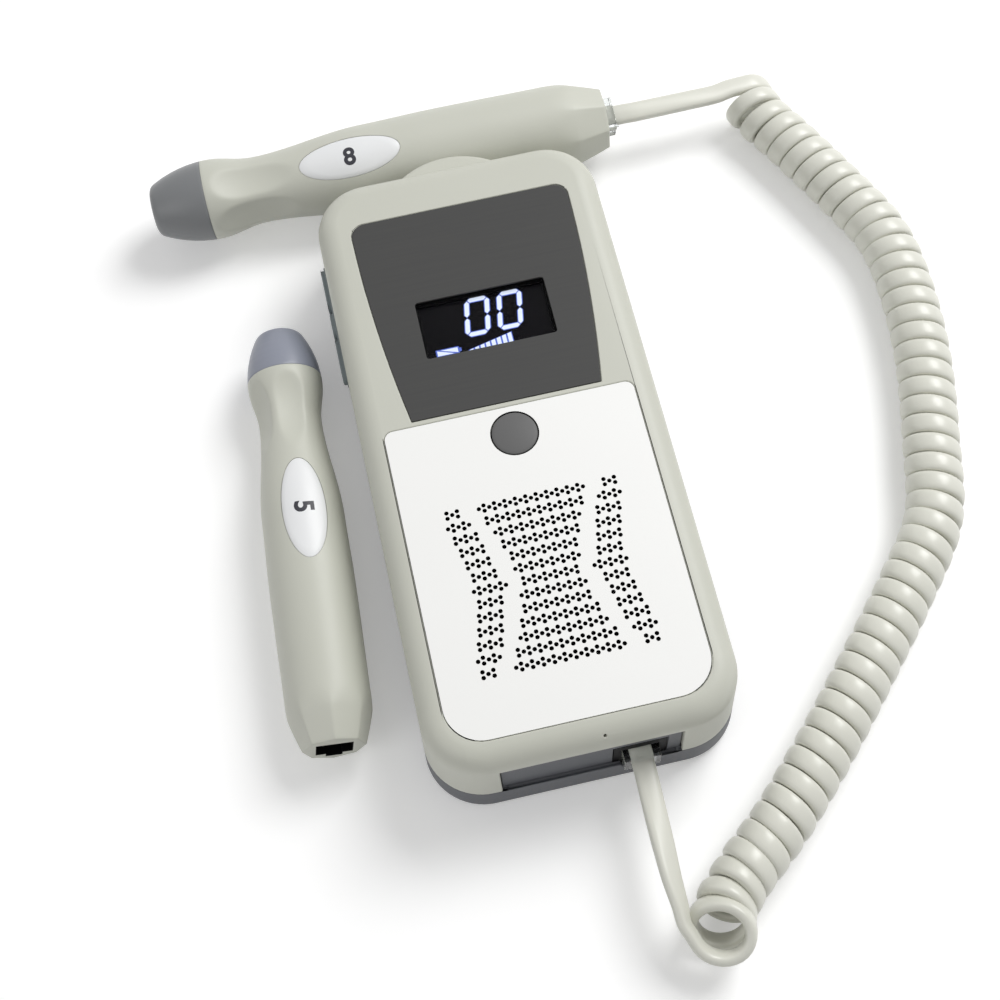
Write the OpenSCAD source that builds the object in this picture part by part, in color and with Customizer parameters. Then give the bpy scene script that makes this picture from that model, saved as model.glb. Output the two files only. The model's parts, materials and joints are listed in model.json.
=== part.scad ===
// Vascular doppler: a hand-held unit lying on its back, a probe clipped across its top end on a curly cord,
// and a loose spare probe beside it.
// Frame: origin at the centre of the unit's flat back, X across, +Y towards the probe holder, +Z up.

/* [Unit shells] */
// Width of the unit across its base
unit_w = 66.8; // [64:0.1:70]
// Length of the unit along its base
unit_l = 143.8; // [140:0.1:148]
// Height of the unit from its back to its front
unit_h = 27.8; // [27.2:0.1:29]
// Height of the seam between the rear and front shells
seam_z = 9; // [8.6:0.1:9.4]
// Wall thickness of both shells
wall = 2; // [1.8:0.1:2.2]
// Corner radius of the base in plan
corner_r = 12.7; // [12:0.1:13.5]
// Rounding of the front edge
edge_r = 5; // [4.2:0.1:5.4]
// Rounding of the bottom edge
bottom_r = 1.8; // [1.2:0.1:2]
// How far the walls lean in, from the base to the rounded edge
side_lean = 0.7; // [0.3:0.1:1]
// Height of the lip that the front shell drops over
lip_h = 1.4; // [1:0.1:2]
// Gap between pieces that fit into each other
fit_gap = 0.15; // [0.1:0.05:0.2]

/* [End recess and socket] */
// Half-width of the cut-out in the front shell's end wall
recess_half_w = 19; // [18.5:0.1:19.5]
// Height of the top of that cut-out
recess_top = 22; // [21.5:0.1:22.4]
// Depth of the rear shell's end panel behind the end wall
recess_depth = 1.3; // [1:0.1:1.5]
// Thickness of the end panel
panel_t = 1.6; // [1.2:0.1:1.7]
// Sideways place of the socket
socket_x = 10.2; // [9.5:0.1:11]
// Height of the plug's centre line
socket_z = 12.5; // [12.4:0.1:12.8]
// Width of the socket housing
socket_w = 11.2; // [10.8:0.1:11.5]
// Depth of the socket housing
socket_d = 14.3; // [14:0.1:14.8]

/* [Cord plug] */
// Width of the modular plug
plug_w = 7.65; // [7.5:0.05:7.7]
// Height of the modular plug
plug_h = 6; // [5.8:0.1:6.2]
// Length of the modular plug
plug_l = 11.7; // [11.5:0.1:12]
// How far the plug stands out of its socket
plug_out = 2.5; // [2.2:0.1:3]
// Number of cores and contacts
cores = 4; // [4:1:4]
// Spacing of the contacts
core_pitch = 1.02; // [1:0.01:1.05]

/* [Speaker plate] */
// Width of the white plate
plate_w = 54.9; // [54:0.1:55.5]
// Length of the white plate
plate_l = 71; // [70:0.1:72]
// Thickness of the plate
plate_t = 0.8; // [0.6:0.1:1]
// Distance from the unit's jack end to the plate
plate_from_end = 6.3; // [6:0.1:7]
// Corner radius at the plate's top
plate_top_r = 2; // [1:0.1:3]
// Corner radius at the plate's bottom
plate_bottom_r = 8; // [6:0.1:9]
// Diameter of one speaker hole
hole_d = 0.85; // [0.7:0.05:0.95]
// Spacing of the hole columns
hole_column = 1.12; // [1.08:0.01:1.16]
// Spacing of the hole rows
hole_row = 2.975; // [2.9:0.005:3.05]
// Half the height of a pair of holes
hole_pair = 0.57; // [0.52:0.01:0.62]
// Centre of the hole pattern below the plate's top edge
pattern_down = 39.9; // [39:0.1:41]
// Place of the side groups on the middle row
side_group_x = 12.7; // [12.4:0.1:13]
// How far the side groups move out from one row to the next
side_group_step = 0.7; // [0.65:0.01:0.75]

/* [Display side] */
// Distance from the plate's top edge to the dark overlay
overlay_gap = 1.4; // [1:0.1:2]
// Length of the dark overlay
overlay_l = 51.9; // [51:0.1:53]
// Width of the overlay at its widest
overlay_w = 50.2; // [49:0.1:51]
// Radius of the overlay's curved sides
overlay_side_r = 320; // [280:5:360]
// Corner radius at the overlay's top
overlay_top_r = 3.2; // [2:0.1:4]
// Thickness of the overlay
overlay_t = 0.5; // [0.4:0.1:0.6]
// Width of the display window
window_w = 29.3; // [28:0.1:30]
// Height of the display window
window_h = 14.5; // [13.5:0.1:15.5]
// Height of the window's centre above the overlay's lower edge
window_up = 21.4; // [20.5:0.1:22.5]
// Thickness of the window pane
window_t = 1; // [0.8:0.1:1.1]

/* [Buttons] */
// Diameter of the power button
button_d = 9.9; // [9.5:0.1:10.3]
// Gap round the power button
button_gap = 0.3; // [0.25:0.05:0.4]
// Height of the button's dome over the front face
button_rise = 0.5; // [0.3:0.1:0.8]
// Distance of the button's centre below the plate's top edge
button_down = 6.5; // [6.4:0.1:7]
// Travel of every button
travel = 0.8; // [0.5:0.1:0.8]
// Lower end of the side keypad above the unit's middle
keypad_y0 = 26; // [25:0.1:27]
// Length of the side keypad
keypad_l = 32; // [31:0.1:33]
// Height of the side keypad's centre line
keypad_z = 14; // [13.8:0.1:14.2]
// Height of the side keypad
keypad_h = 6.6; // [6.2:0.1:6.8]
// Share of the keypad's length that each key takes
key_l = 11.6; // [11:0.1:12]
// How far the keys stand out of the side wall
key_proud = 1; // [0.9:0.1:1.3]

/* [Circuit board and speaker] */
// Height of the circuit board's top face
board_top = 19.9; // [19.8:0.1:20]
// Thickness of the circuit board
board_t = 1.6; // [1.5:0.1:1.7]
// Half-width of the circuit board
board_half_w = 27.5; // [27:0.1:27.8]
// Half-length of the circuit board
board_half_l = 66; // [65:0.1:66.4]
// Diameter of the speaker
speaker_d = 40; // [39:0.1:41]
// Gap between the speaker's magnet and the board
speaker_gap = 0.5; // [0.4:0.1:0.9]

/* [Batteries] */
// Diameter of one cell
cell_d = 14.5; // [14.2:0.1:14.5]
// Length of one cell with its nub
cell_l = 50.5; // [50:0.1:50.8]
// Number of cells
cells = 3; // [3:1:3]
// Spacing of the cells
cell_pitch = 15; // [14.8:0.1:15.1]
// Jack end of the battery bay, from the unit's middle
bay_y0 = -54.4; // [-54.6:0.1:-54]
// Length left in the bay for the springs and the contact plates
spring_space = 5.5; // [5.2:0.1:5.8]
// Wall of the battery bay
bay_wall = 1.2; // [1:0.1:1.4]
// How far the battery door laps past the bay
door_lap = 4.4; // [4:0.1:5]
// Thickness of the floor and of the battery door
floor_t = 2; // [1.8:0.1:2.2]

/* [Case screws] */
// Sideways place of the screws
screw_x = 25; // [24.6:0.1:25.4]
// Place of the screws along the unit
screw_y = 62.5; // [62:0.1:63]
// Radius of the screw bosses
boss_r = 3; // [2.8:0.1:3.2]
// Radius of the screw shank
shank_r = 1.35; // [1.2:0.05:1.5]
// Radius of the screw head
head_r = 2.4; // [2.2:0.1:2.5]

/* [Probe] */
// Length of a probe
probe_l = 111.3; // [110:0.1:112]
// Radius of the cap at its widest
cap_r = 9.5; // [9.2:0.1:9.8]
// Length of the cap
cap_l = 13.3; // [12.5:0.1:14]
// Radius of the cap's flat face
face_r = 4.2; // [3.8:0.1:4.6]
// Radius of the grip's waist
waist_r = 7.9; // [7.6:0.1:8.2]
// Distance of the waist from the tip
waist_at = 26; // [25:0.5:27]
// Largest radius of the body
body_r = 10.45; // [10.3:0.05:10.5]
// Radius of the body at the ring where the tail starts to taper
ring_r = 10.2; // [10:0.1:10.3]
// Length of the tapered tail
tail_l = 7.8; // [7:0.1:8.6]
// Radius of the flat end of the tail
tail_r = 6.6; // [6.4:0.1:6.9]
// Number of flats on the tail's taper
tail_flats = 8; // [8:1:8]
// Length of the oval label
label_l = 24.4; // [23:0.1:26]
// Width of the oval label
label_w = 9.5; // [9:0.1:10.5]
// Distance of the label's centre from the tip
label_at = 48.7; // [47:0.1:50]
// Thickness of the label
label_t = 0.3; // [0.2:0.05:0.4]
// Radius of the ball that shapes a finger dimple
dimple_ball = 24; // [20:1:28]
// Depth of a finger dimple
dimple_deep = 1; // [0.7:0.1:1.2]
// Angle between the two finger dimples
dimple_angle = 62; // [56:1:68]

/* [Probe holder] */
// Place of the held probe's axis along the unit
holder_y = 85.2; // [85.2:0.1:86]
// Height of the held probe's axis
holder_z = 12.2; // [12.2:0.1:12.6]
// Distance of the held probe's tip left of the unit's middle
holder_tip = 70.3; // [69:0.1:72]
// How far the held probe is rolled towards the display
holder_roll = 16; // [10:1:20]
// Clearance between the holder and the probe
holder_gap = 0.35; // [0.3:0.05:0.4]
// Plan radius of the holder's ear
ear_r = 19.3; // [18.5:0.1:20]
// How far the ear reaches beyond the unit's end
ear_out = 4.9; // [4.5:0.1:5.3]
// Height of the ear
ear_top = 22.3; // [21.5:0.1:22.6]
// Half-width of the hook under the probe
hook_half_w = 9; // [8:0.1:10]
// Thickness of the hook under the probe
hook_t = 1.4; // [1.3:0.1:1.4]

/* [Spare probe] */
// Size of the spare probe's moulding against the held one's
spare_size = 0.9; // [0.88:0.01:0.94]
// Distance of the spare probe's label centre from its tip
spare_label_at = 48; // [44:0.5:50]
// How far the spare probe is rolled towards the unit
spare_roll = 9; // [4:1:14]
// Sideways place of the spare probe's tip
spare_tip_x = -46.8; // [-48:0.1:-46]
// Place of the spare probe's tip along the unit
spare_tip_y = 45.2; // [44:0.1:47]
// How far the spare probe is turned
spare_turn = 2.6; // [0:0.1:4]

/* [Cord] */
// Width of the flat cord
cord_w = 4.8; // [4.6:0.1:5]
// Thickness of the flat cord
cord_t = 2.5; // [2.3:0.1:2.5]
// Width of one curl of the coiled length
curl_w = 3.85; // [3.5:0.05:3.9]
// Radius of the coil at the middle of the cord
coil_r = 5.15; // [5.05:0.05:5.2]
// Number of curls
curls = 48; // [46:1:48]
// Height of the coil's axis
coil_z = 6.6; // [6.6:0.1:6.9]

/* [Hidden] */
$fn = 48;
eps = 0.01;
over = 1;
contact_gap = 0.1;

// Colours
putty = [0.78, 0.78, 0.74];
slate = [0.42, 0.43, 0.45];
dark = [0.3, 0.3, 0.31];
white = [0.95, 0.95, 0.95];
black = [0.08, 0.08, 0.09];
clear = [0.85, 0.88, 0.9];
metal = [0.75, 0.75, 0.76];
gold = [0.83, 0.69, 0.35];
board_green = [0.1, 0.4, 0.22];
cord_ivory = [0.86, 0.86, 0.82];
cap_blue = [0.47, 0.53, 0.58];
cell_blue = [0.2, 0.35, 0.5];

// Heights and faces that several pieces share
skin_z = unit_h - wall;
half_w = unit_w / 2;
half_l = unit_l / 2;
plate_y0 = -half_l + plate_from_end;
plate_y1 = plate_y0 + plate_l;
plate_seat = unit_h - plate_t;
pattern_y = plate_y1 - pattern_down;
button_y = plate_y1 - button_down;
button_r = button_d / 2;
overlay_y0 = plate_y1 + overlay_gap;
overlay_y1 = overlay_y0 + overlay_l;
overlay_seat = unit_h - overlay_t;
window_y = overlay_y0 + window_up;
board_bottom = board_top - board_t;
panel_face = -half_l + recess_depth;
wall_x = half_w - lean(keypad_z);

// Walls that lean in with height, and the profile of a shell at a depth t inside the outer face
function lean(z) = side_lean * z / (unit_h - edge_r);
edge_steps = 8;
function rim_upper(z0, t) = concat(
    [[lean(z0) + t, z0]],
    [for (i = [0 : edge_steps]) let (a = 90 * i / edge_steps)
        [side_lean + edge_r - (edge_r - t) * cos(a), unit_h - edge_r + (edge_r - t) * sin(a)]]
);
function rim_lower() = concat(
    [for (i = [0 : edge_steps / 2]) let (a = 180 * i / edge_steps)
        [lean(bottom_r) + bottom_r - bottom_r * sin(a), bottom_r - bottom_r * cos(a)]],
    [[lean(seam_z), seam_z]]
);
function rim_straight(z0, z1, t) = [[lean(z0) + t, z0], [lean(z1) + t, z1]];
function flip(points) = [for (i = [len(points) - 1 : -1 : 0]) [-points[i][0], points[i][1]]];

// A solid whose rounded-rectangle outline is drawn in by the amounts in rim as it rises
module slab(rim) {
    cx = half_w - corner_r;
    cy = half_l - corner_r;
    band = concat([[0, rim[0][1]]], [for (p = rim) [corner_r - p[0], p[1]]], [[0, rim[len(rim) - 1][1]]]);
    across = [for (p = rim) [half_w - p[0], p[1]]];
    along = [for (p = rim) [half_l - p[0], p[1]]];
    for (i = [0 : 3])
        translate([(i == 0 || i == 3 ? 1 : -1) * cx, (i < 2 ? 1 : -1) * cy, 0])
            rotate([0, 0, 90 * i])
                rotate_extrude(angle = 90)
                    polygon(band);
    translate([0, cy, 0])
        rotate([90, 0, 0])
            linear_extrude(2 * cy)
                polygon(concat(across, flip(across)));
    translate([-cx, 0, 0])
        rotate([90, 0, 90])
            linear_extrude(2 * cx)
                polygon(concat(along, flip(along)));
}

// Quarter arc of points round a centre, starting at angle a
arc_steps = 8;
function quarter(x, y, r, a) = [for (i = [0 : arc_steps])
    [x + r * cos(a + 90 * i / arc_steps), y + r * sin(a + 90 * i / arc_steps)]];
function rounded(x0, y0, x1, y1, low_r, high_r) = concat(
    quarter(x1 - high_r, y1 - high_r, high_r, 0),
    quarter(x0 + high_r, y1 - high_r, high_r, 90),
    quarter(x0 + low_r, y0 + low_r, low_r, 180),
    quarter(x1 - low_r, y0 + low_r, low_r, 270)
);

module box(x0, x1, y0, y1, z0, z1) {
    translate([x0, y0, z0])
        cube([x1 - x0, y1 - y0, z1 - z0]);
}

module at_screws() {
    for (sx = [-1, 1])
        for (sy = [-1, 1])
            translate([sx * screw_x, sy * screw_y, 0])
                children();
}

// The shape left free round the held probe
module probe_clearance() {
    translate([-half_w, holder_y, holder_z])
        rotate([0, 90, 0])
            cylinder(r = body_r + holder_gap, h = unit_w, $fn = 96);
}

// Front shell
cloth_half_w = 22;
cloth_half_l = 21;
cloth_t = 0.3;
speaker_open_r = speaker_d / 2 - 1.5;
flange_extra = 1.2;
button_hole_r = button_r + button_gap;
window_lip = 1.3;
keypad_y1 = keypad_y0 + keypad_l;
ear_cy = half_l + ear_out - ear_r;
ear_round = 1.5;
post_r = 2;
posts = [[24.5, 41.8], [-24.5, 41.8], [24.5, -12], [-24.5, -12]];
vent_r = 0.35;
vent_x = 2.9;
vent_turn = 45;
pilot_r = shank_r - 0.1;
pilot_l = 9;
root = 0.5;
window_r = 0.7;
window_inset = 0.2;

module ear_form(z0, z1) {
    translate([0, ear_cy, 0])
        rotate_extrude($fn = 96)
            polygon([
                [0, z0], [ear_r, z0], [ear_r, z1 - ear_round],
                [ear_r - 0.3 * ear_round, z1 - 0.3 * ear_round], [ear_r - ear_round, z1], [0, z1]
            ]);
}

module slot_outline(y0, y1, h) {
    translate([0, y0 + h / 2, 0])
        circle(d = h);
    translate([0, y1 - h / 2, 0])
        circle(d = h);
    translate([-h / 2, y0 + h / 2, 0])
        square([h, y1 - y0 - h]);
}

// A slot along the left wall, from x0 to x1, centred on the keypad's height
module wall_slot(x0, x1, y0, y1, h) {
    translate([x0, 0, keypad_z])
        rotate([0, 90, 0])
            linear_extrude(x1 - x0)
                slot_outline(y0, y1, h);
}

module front_shell() {
    color(putty)
    difference() {
        union() {
            difference() {
                union() {
                    slab(rim_upper(seam_z, 0));
                    ear_form(seam_z, ear_top);
                }
                slab(rim_upper(seam_z - over, wall));
            }
            at_screws()
                translate([0, 0, seam_z])
                    cylinder(r = boss_r, h = skin_z + root - seam_z);
            for (p = posts)
                translate([p[0], p[1], board_top])
                    cylinder(r = post_r, h = skin_z + root - board_top);
        }
        // Rebate over the rear shell's lip
        slab(rim_straight(seam_z - over, seam_z + lip_h, wall / 2));
        // Pilot holes for the case screws
        at_screws()
            translate([0, 0, seam_z - over])
                cylinder(r = pilot_r, h = pilot_l);
        // Seat of the white plate, pocket for the cloth and the speaker's opening
        translate([0, 0, plate_seat])
            linear_extrude(plate_t + over)
                polygon(rounded(-plate_w / 2 - fit_gap, plate_y0 - fit_gap, plate_w / 2 + fit_gap,
                    plate_y1 + fit_gap, plate_bottom_r, plate_top_r));
        box(-cloth_half_w, cloth_half_w, pattern_y - cloth_half_l, pattern_y + cloth_half_l,
            plate_seat - cloth_t, plate_seat + eps);
        translate([0, pattern_y, skin_z - over])
            cylinder(r = speaker_open_r, h = wall + over, $fn = 96);
        // Hole of the power button
        translate([0, button_y, skin_z - over])
            cylinder(r = button_hole_r, h = wall + over);
        // Seat of the overlay, of the window pane, and the window's opening
        translate([0, 0, overlay_seat])
            linear_extrude(overlay_t + over)
                polygon(overlay_points(fit_gap));
        translate([0, window_y, overlay_seat - window_t])
            linear_extrude(window_t + eps)
                square([window_w + 2 * window_lip, window_h + 2 * window_lip], center = true);
        translate([0, window_y, skin_z - over])
            linear_extrude(wall + over)
                square([window_w - 2 * window_inset, window_h - 2 * window_inset], center = true);
        // Opening of the side keypad
        wall_slot(-half_w - over, -half_w + 2 * wall, keypad_y0, keypad_y1, keypad_h);
        // Cut-out of the end wall
        box(-recess_half_w, recess_half_w, -half_l - over, -half_l + 2 * wall, seam_z - over, recess_top);
        // Small vent through the rounded edge
        translate([vent_x, side_lean + edge_r - half_l, unit_h - edge_r])
            rotate([vent_turn, 0, 0])
                cylinder(r = vent_r, h = edge_r + over);
        probe_clearance();
    }
}

// Rear shell
bay_half_w = cells * cell_pitch / 2 + 0.2;
bay_l = cell_l + spring_space;
bay_y1 = bay_y0 + bay_l;
bay_top = board_bottom;
door_l = bay_l + door_lap;
door_half_w = bay_half_w;
door_y1 = bay_y0 + door_l;
tab_x = [-14, 14];
tab_w = 6;
tab_h = 1;
tab_reach = 1.3;
notch_half_w = plug_w / 2 + 0.3;
notch_r = 1.6;
socket_low = 5.9;
groove_r = 0.5;
groove_end = 1.2;
hook_end = 2.8;
screw_seat = 3.4;
shank_play = 0.15;
head_play = 0.3;

module holder_saddle() {
    difference() {
        union() {
            ear_form(0, seam_z + ear_round);
            box(-hook_half_w, hook_half_w, half_l - wall, holder_y, 0, seam_z);
            box(-hook_half_w, hook_half_w, holder_y - eps, holder_y + hook_end, 0, hook_t);
        }
        probe_clearance();
        box(-half_w, half_w, ear_cy - ear_r - over, half_l - wall, -over, unit_h);
        box(-half_w, half_w, 0, unit_l, seam_z, unit_h);
    }
}

module rear_shell() {
    color(slate)
    difference() {
        union() {
            difference() {
                union() {
                    slab(rim_lower());
                    holder_saddle();
                }
                slab(rim_straight(floor_t, seam_z + over, wall));
            }
            // Lip that stands inside the front shell
            difference() {
                slab(rim_straight(seam_z - over, seam_z + lip_h - fit_gap, wall / 2 + fit_gap));
                slab(rim_straight(seam_z - 2 * over, seam_z + 2 * lip_h, wall));
                box(-recess_half_w - over, recess_half_w + over, -half_l, -half_l + 2 * wall,
                    seam_z, seam_z + 2 * lip_h);
                box(-half_w, -half_w + 2 * wall, keypad_y0 - over, keypad_y1 + over, seam_z, seam_z + 2 * lip_h);
            }
            // End panel round the socket
            box(-recess_half_w + fit_gap, recess_half_w - fit_gap, panel_face, panel_face + panel_t,
                seam_z - over, recess_top - fit_gap);
            // Screw posts
            at_screws()
                translate([0, 0, floor_t - over])
                    cylinder(r = boss_r + 1, h = seam_z - floor_t + over);
            // Battery bay, which also carries the circuit board
            box(-bay_half_w - bay_wall, bay_half_w + bay_wall, bay_y0 - bay_wall, bay_y1 + bay_wall,
                floor_t - over, bay_top);
        }
        // Inside of the bay and the door's opening
        box(-bay_half_w, bay_half_w, bay_y0, bay_y1, -over, bay_top - bay_wall / 2);
        box(-door_half_w - fit_gap, door_half_w + fit_gap, bay_y0, door_y1 + fit_gap, -over, floor_t);
        for (x = tab_x)
            box(x - tab_w / 2 - fit_gap, x + tab_w / 2 + fit_gap, bay_y0 - tab_reach - 2 * fit_gap, bay_y0 + eps,
                floor_t, floor_t + 3 * tab_h);
        // Opening for the socket, and the notch for the plug's latch
        box(socket_x - socket_w / 2 - fit_gap, socket_x + socket_w / 2 + fit_gap,
            panel_face - eps, panel_face + panel_t + over, socket_z - socket_low - fit_gap, board_bottom + fit_gap);
        translate([0, panel_face + over, 0])
            rotate([90, 0, 0])
                linear_extrude(recess_depth + 2 * over)
                    polygon(rounded(socket_x - notch_half_w, socket_z - socket_low, socket_x + notch_half_w,
                        seam_z + 2 * over, notch_r, over));
        // Cove along the panel's foot
        translate([groove_end - recess_half_w, panel_face - groove_r + contact_gap, seam_z])
            rotate([0, 90, 0])
                cylinder(r = groove_r, h = 2 * (recess_half_w - groove_end));
        // Screw holes and head seats
        at_screws()
            translate([0, 0, -over])
                cylinder(r = shank_r + shank_play, h = seam_z + 2 * over);
        at_screws()
            translate([0, 0, -over])
                cylinder(r = head_r + head_play, h = over + screw_seat);
    }
}

// Overlay and window
function side_x(y, g) = overlay_w / 2 + g - overlay_side_r + sqrt(pow(overlay_side_r, 2) - pow(y - overlay_y1, 2));
side_steps = 10;
function overlay_right(g) = concat(
    [for (i = [0 : side_steps]) let (y = overlay_y0 - g + (overlay_l + g - overlay_top_r) * i / side_steps)
        [side_x(y, g), y]],
    [for (i = [1 : arc_steps]) let (a = 90 * i / arc_steps)
        [overlay_w / 2 + g - overlay_top_r + overlay_top_r * cos(a),
            overlay_y1 + g - overlay_top_r + overlay_top_r * sin(a)]]
);
function overlay_points(g) = concat(overlay_right(g), flip(overlay_right(g)));

module display_overlay() {
    color(dark)
    translate([0, 0, overlay_seat])
        linear_extrude(overlay_t)
            difference() {
                polygon(overlay_points(0));
                polygon(rounded(-window_w / 2, window_y - window_h / 2, window_w / 2, window_y + window_h / 2,
                    window_r, window_r));
            }
}

module display_window() {
    pane = window_lip - fit_gap;
    color(clear)
    translate([0, window_y, overlay_seat - window_t])
        linear_extrude(window_t)
            square([window_w + 2 * pane, window_h + 2 * pane], center = true);
}

// Display module under the window
glass_t = 1.8;
glass_extra = 1;
frame_extra = 1.5;
display_top = skin_z - contact_gap;

module display_glass() {
    color([0.6, 0.64, 0.58])
    translate([0, window_y, display_top - glass_t])
        linear_extrude(glass_t)
            square([window_w + glass_extra, window_h + glass_extra], center = true);
}

module display_frame() {
    color(dark)
    translate([0, window_y, board_top])
        linear_extrude(display_top - glass_t - board_top)
            difference() {
                square([window_w + glass_extra + 2 * frame_extra, window_h + glass_extra + 2 * frame_extra],
                    center = true);
                square([window_w - 2 * glass_extra, window_h - 2 * glass_extra], center = true);
            }
}

// Speaker plate: thirteen rows of holes, single or in pairs one above the other, in a diamond
rows_from_middle = 6;
middle_halves = [5, 6, 6, 7, 8, 9, 10];
side_halves = [3, 2, 2, 2, 2, 2, 1];

function is_pair(row, column, side) =
    side ? (column % 2 == 0) == (row == 1 || row == 2 || row == 3 || row == 4 || row == 6) && !(row == 6 && column == 0)
         : (row == 2 ? column % 2 == 0 : column % 2 == 1);

module hole_mark(x, y, pair) {
    if (pair) {
        translate([x, y + hole_pair])
            circle(d = hole_d, $fn = 16);
        translate([x, y - hole_pair])
            circle(d = hole_d, $fn = 16);
    } else {
        translate([x, y])
            circle(d = hole_d, $fn = 16);
    }
}

module hole_group(cx, y, row, half, side) {
    for (c = [-half : half])
        hole_mark(cx + c * hole_column, y, is_pair(row, abs(c), side));
}

module hole_pattern() {
    for (i = [-rows_from_middle : rows_from_middle]) {
        row = abs(i);
        y = pattern_y + i * hole_row;
        out = side_group_x + side_group_step * row;
        hole_group(0, y, row, middle_halves[row], false);
        for (s = [-1, 1])
            hole_group(s * out, y, row, side_halves[row], true);
    }
}

module speaker_plate() {
    color(white)
    translate([0, 0, plate_seat])
        linear_extrude(plate_t)
            difference() {
                polygon(rounded(-plate_w / 2, plate_y0, plate_w / 2, plate_y1, plate_bottom_r, plate_top_r));
                translate([0, button_y])
                    circle(r = button_hole_r);
                hole_pattern();
            }
}

module speaker_cloth() {
    color(slate)
    box(-cloth_half_w + fit_gap, cloth_half_w - fit_gap, pattern_y - cloth_half_l + fit_gap,
        pattern_y + cloth_half_l - fit_gap, plate_seat - cloth_t, plate_seat);
}

// Speaker
speaker_r = speaker_d / 2;
speaker_h = skin_z - board_top - speaker_gap;
speaker_bottom = skin_z - speaker_h;
magnet_r = 9.5;
magnet_h = 0.37 * speaker_h;
rim_h = 0.22 * speaker_h;
rim_w = 2;
basket_t = 0.8;

module speaker_frame() {
    color(metal)
    translate([0, pattern_y, 0])
        rotate_extrude($fn = 96)
            polygon([
                [0, speaker_bottom], [magnet_r, speaker_bottom], [magnet_r, speaker_bottom + magnet_h],
                [speaker_r - rim_w, skin_z - rim_h], [speaker_r, skin_z - rim_h], [speaker_r, skin_z],
                [speaker_r - rim_w, skin_z], [speaker_r - rim_w, skin_z - rim_h + basket_t],
                [magnet_r, speaker_bottom + magnet_h + basket_t], [0, speaker_bottom + magnet_h + basket_t]
            ]);
}

module speaker_cone() {
    cone_t = 0.4;
    cap_half = 4;
    cap_rise = 0.8;
    low = speaker_bottom + magnet_h + basket_t + contact_gap;
    color(black)
    translate([0, pattern_y, 0])
        rotate_extrude($fn = 96)
            polygon([
                [0, low + cap_rise], [cap_half, low], [speaker_r - rim_w - fit_gap, skin_z - cone_t],
                [speaker_r - rim_w - fit_gap, skin_z], [speaker_r - 2 * rim_w, skin_z - contact_gap],
                [cap_half, low + cone_t], [0, low + cap_rise + cone_t]
            ]);
}

// Power button and its switch
switch_w = 6;
plunger_r = 1.7;
plunger_h = 1.1;
button_flange_t = 1;
button_play = 0.3;
plunger_top = skin_z - button_play - button_flange_t;
switch_h = plunger_top - plunger_h - board_top;

module power_button() {
    dome_r = (pow(button_r, 2) + pow(button_rise, 2)) / (2 * button_rise);
    color(slate)
    translate([0, button_y, 0])
        difference() {
            union() {
                translate([0, 0, plunger_top])
                    cylinder(r = button_r + flange_extra, h = button_flange_t);
                translate([0, 0, plunger_top])
                    cylinder(r = button_r, h = unit_h + over - plunger_top);
            }
            difference() {
                translate([0, 0, unit_h - eps])
                    cylinder(r = button_r + over, h = 3 * over);
                translate([0, 0, unit_h + button_rise - dome_r])
                    sphere(r = dome_r, $fn = 96);
            }
        }
}

module power_switch() {
    color(black)
    difference() {
        translate([-switch_w / 2, button_y - switch_w / 2, board_top])
            cube([switch_w, switch_w, switch_h]);
        translate([0, button_y, board_top + switch_h - travel - button_play])
            cylinder(r = plunger_r + fit_gap, h = 2 * switch_h);
    }
}

module power_switch_plunger() {
    color(dark)
    translate([0, button_y, board_top + switch_h])
        cylinder(r = plunger_r, h = plunger_h);
}

// Side keypad: a rubber bezel with its middle bump and two keys
key_h = 5;
key_flange_t = 0.8;
bezel_out = 0.2;
inner_x = half_w - lean(keypad_z) - wall;
flange_rim = 1;
flange_face = half_w - lean(keypad_z + keypad_h / 2 + flange_rim) - wall - contact_gap / 2;
bezel_deep = 0.9;
key_behind = 0.25;
flange_x = inner_x - bezel_deep;
key_flange_x = flange_x - key_behind;
side_switch_x = board_half_w;
side_plunger_r = 1;
side_plunger_l = 1.4;
key_stem_end = side_switch_x + side_plunger_l;
key_margin = 0.7;
key_rim = 0.5;
key_up_y = [keypad_y1 - key_margin - key_l, keypad_y1 - key_margin];
key_down_y = [keypad_y0 + key_margin, keypad_y0 + key_margin + key_l];
bump_half = (keypad_l - 2 * key_l - 2 * key_margin) / 2 - key_rim;

module key_bezel() {
    mid = (keypad_y0 + keypad_y1) / 2;
    color(slate)
    difference() {
        union() {
            wall_slot(-wall_x - bezel_out, -flange_x, keypad_y0 + fit_gap, keypad_y1 - fit_gap,
                keypad_h - 2 * fit_gap);
            wall_slot(-flange_face, -flange_x, keypad_y0 - flange_rim, keypad_y1 + flange_rim,
                keypad_h + 2 * flange_rim);
            wall_slot(-wall_x - key_proud, -wall_x, mid - bump_half, mid + bump_half, key_h);
        }
        for (k = [key_up_y, key_down_y])
            wall_slot(-wall_x - 2 * over, -flange_x + over, k[0], k[1], key_h);
    }
}

module side_key(k) {
    color(slate) {
        wall_slot(-wall_x - key_proud, -key_flange_x + key_flange_t / 2, k[0] + fit_gap, k[1] - fit_gap,
            key_h - 2 * fit_gap);
        wall_slot(-key_flange_x, -key_flange_x + key_flange_t, k[0] - key_rim, k[1] + key_rim, key_h + 2 * key_rim);
        translate([-key_flange_x, (k[0] + k[1]) / 2, keypad_z])
            rotate([0, 90, 0])
                cylinder(r = side_plunger_r + key_rim, h = key_flange_x - key_stem_end);
    }
}

// Right-angle switches under the board's edge
side_switch_d = 3.5;
side_switch_w = 6;
side_switch_low = 2.7;

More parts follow.
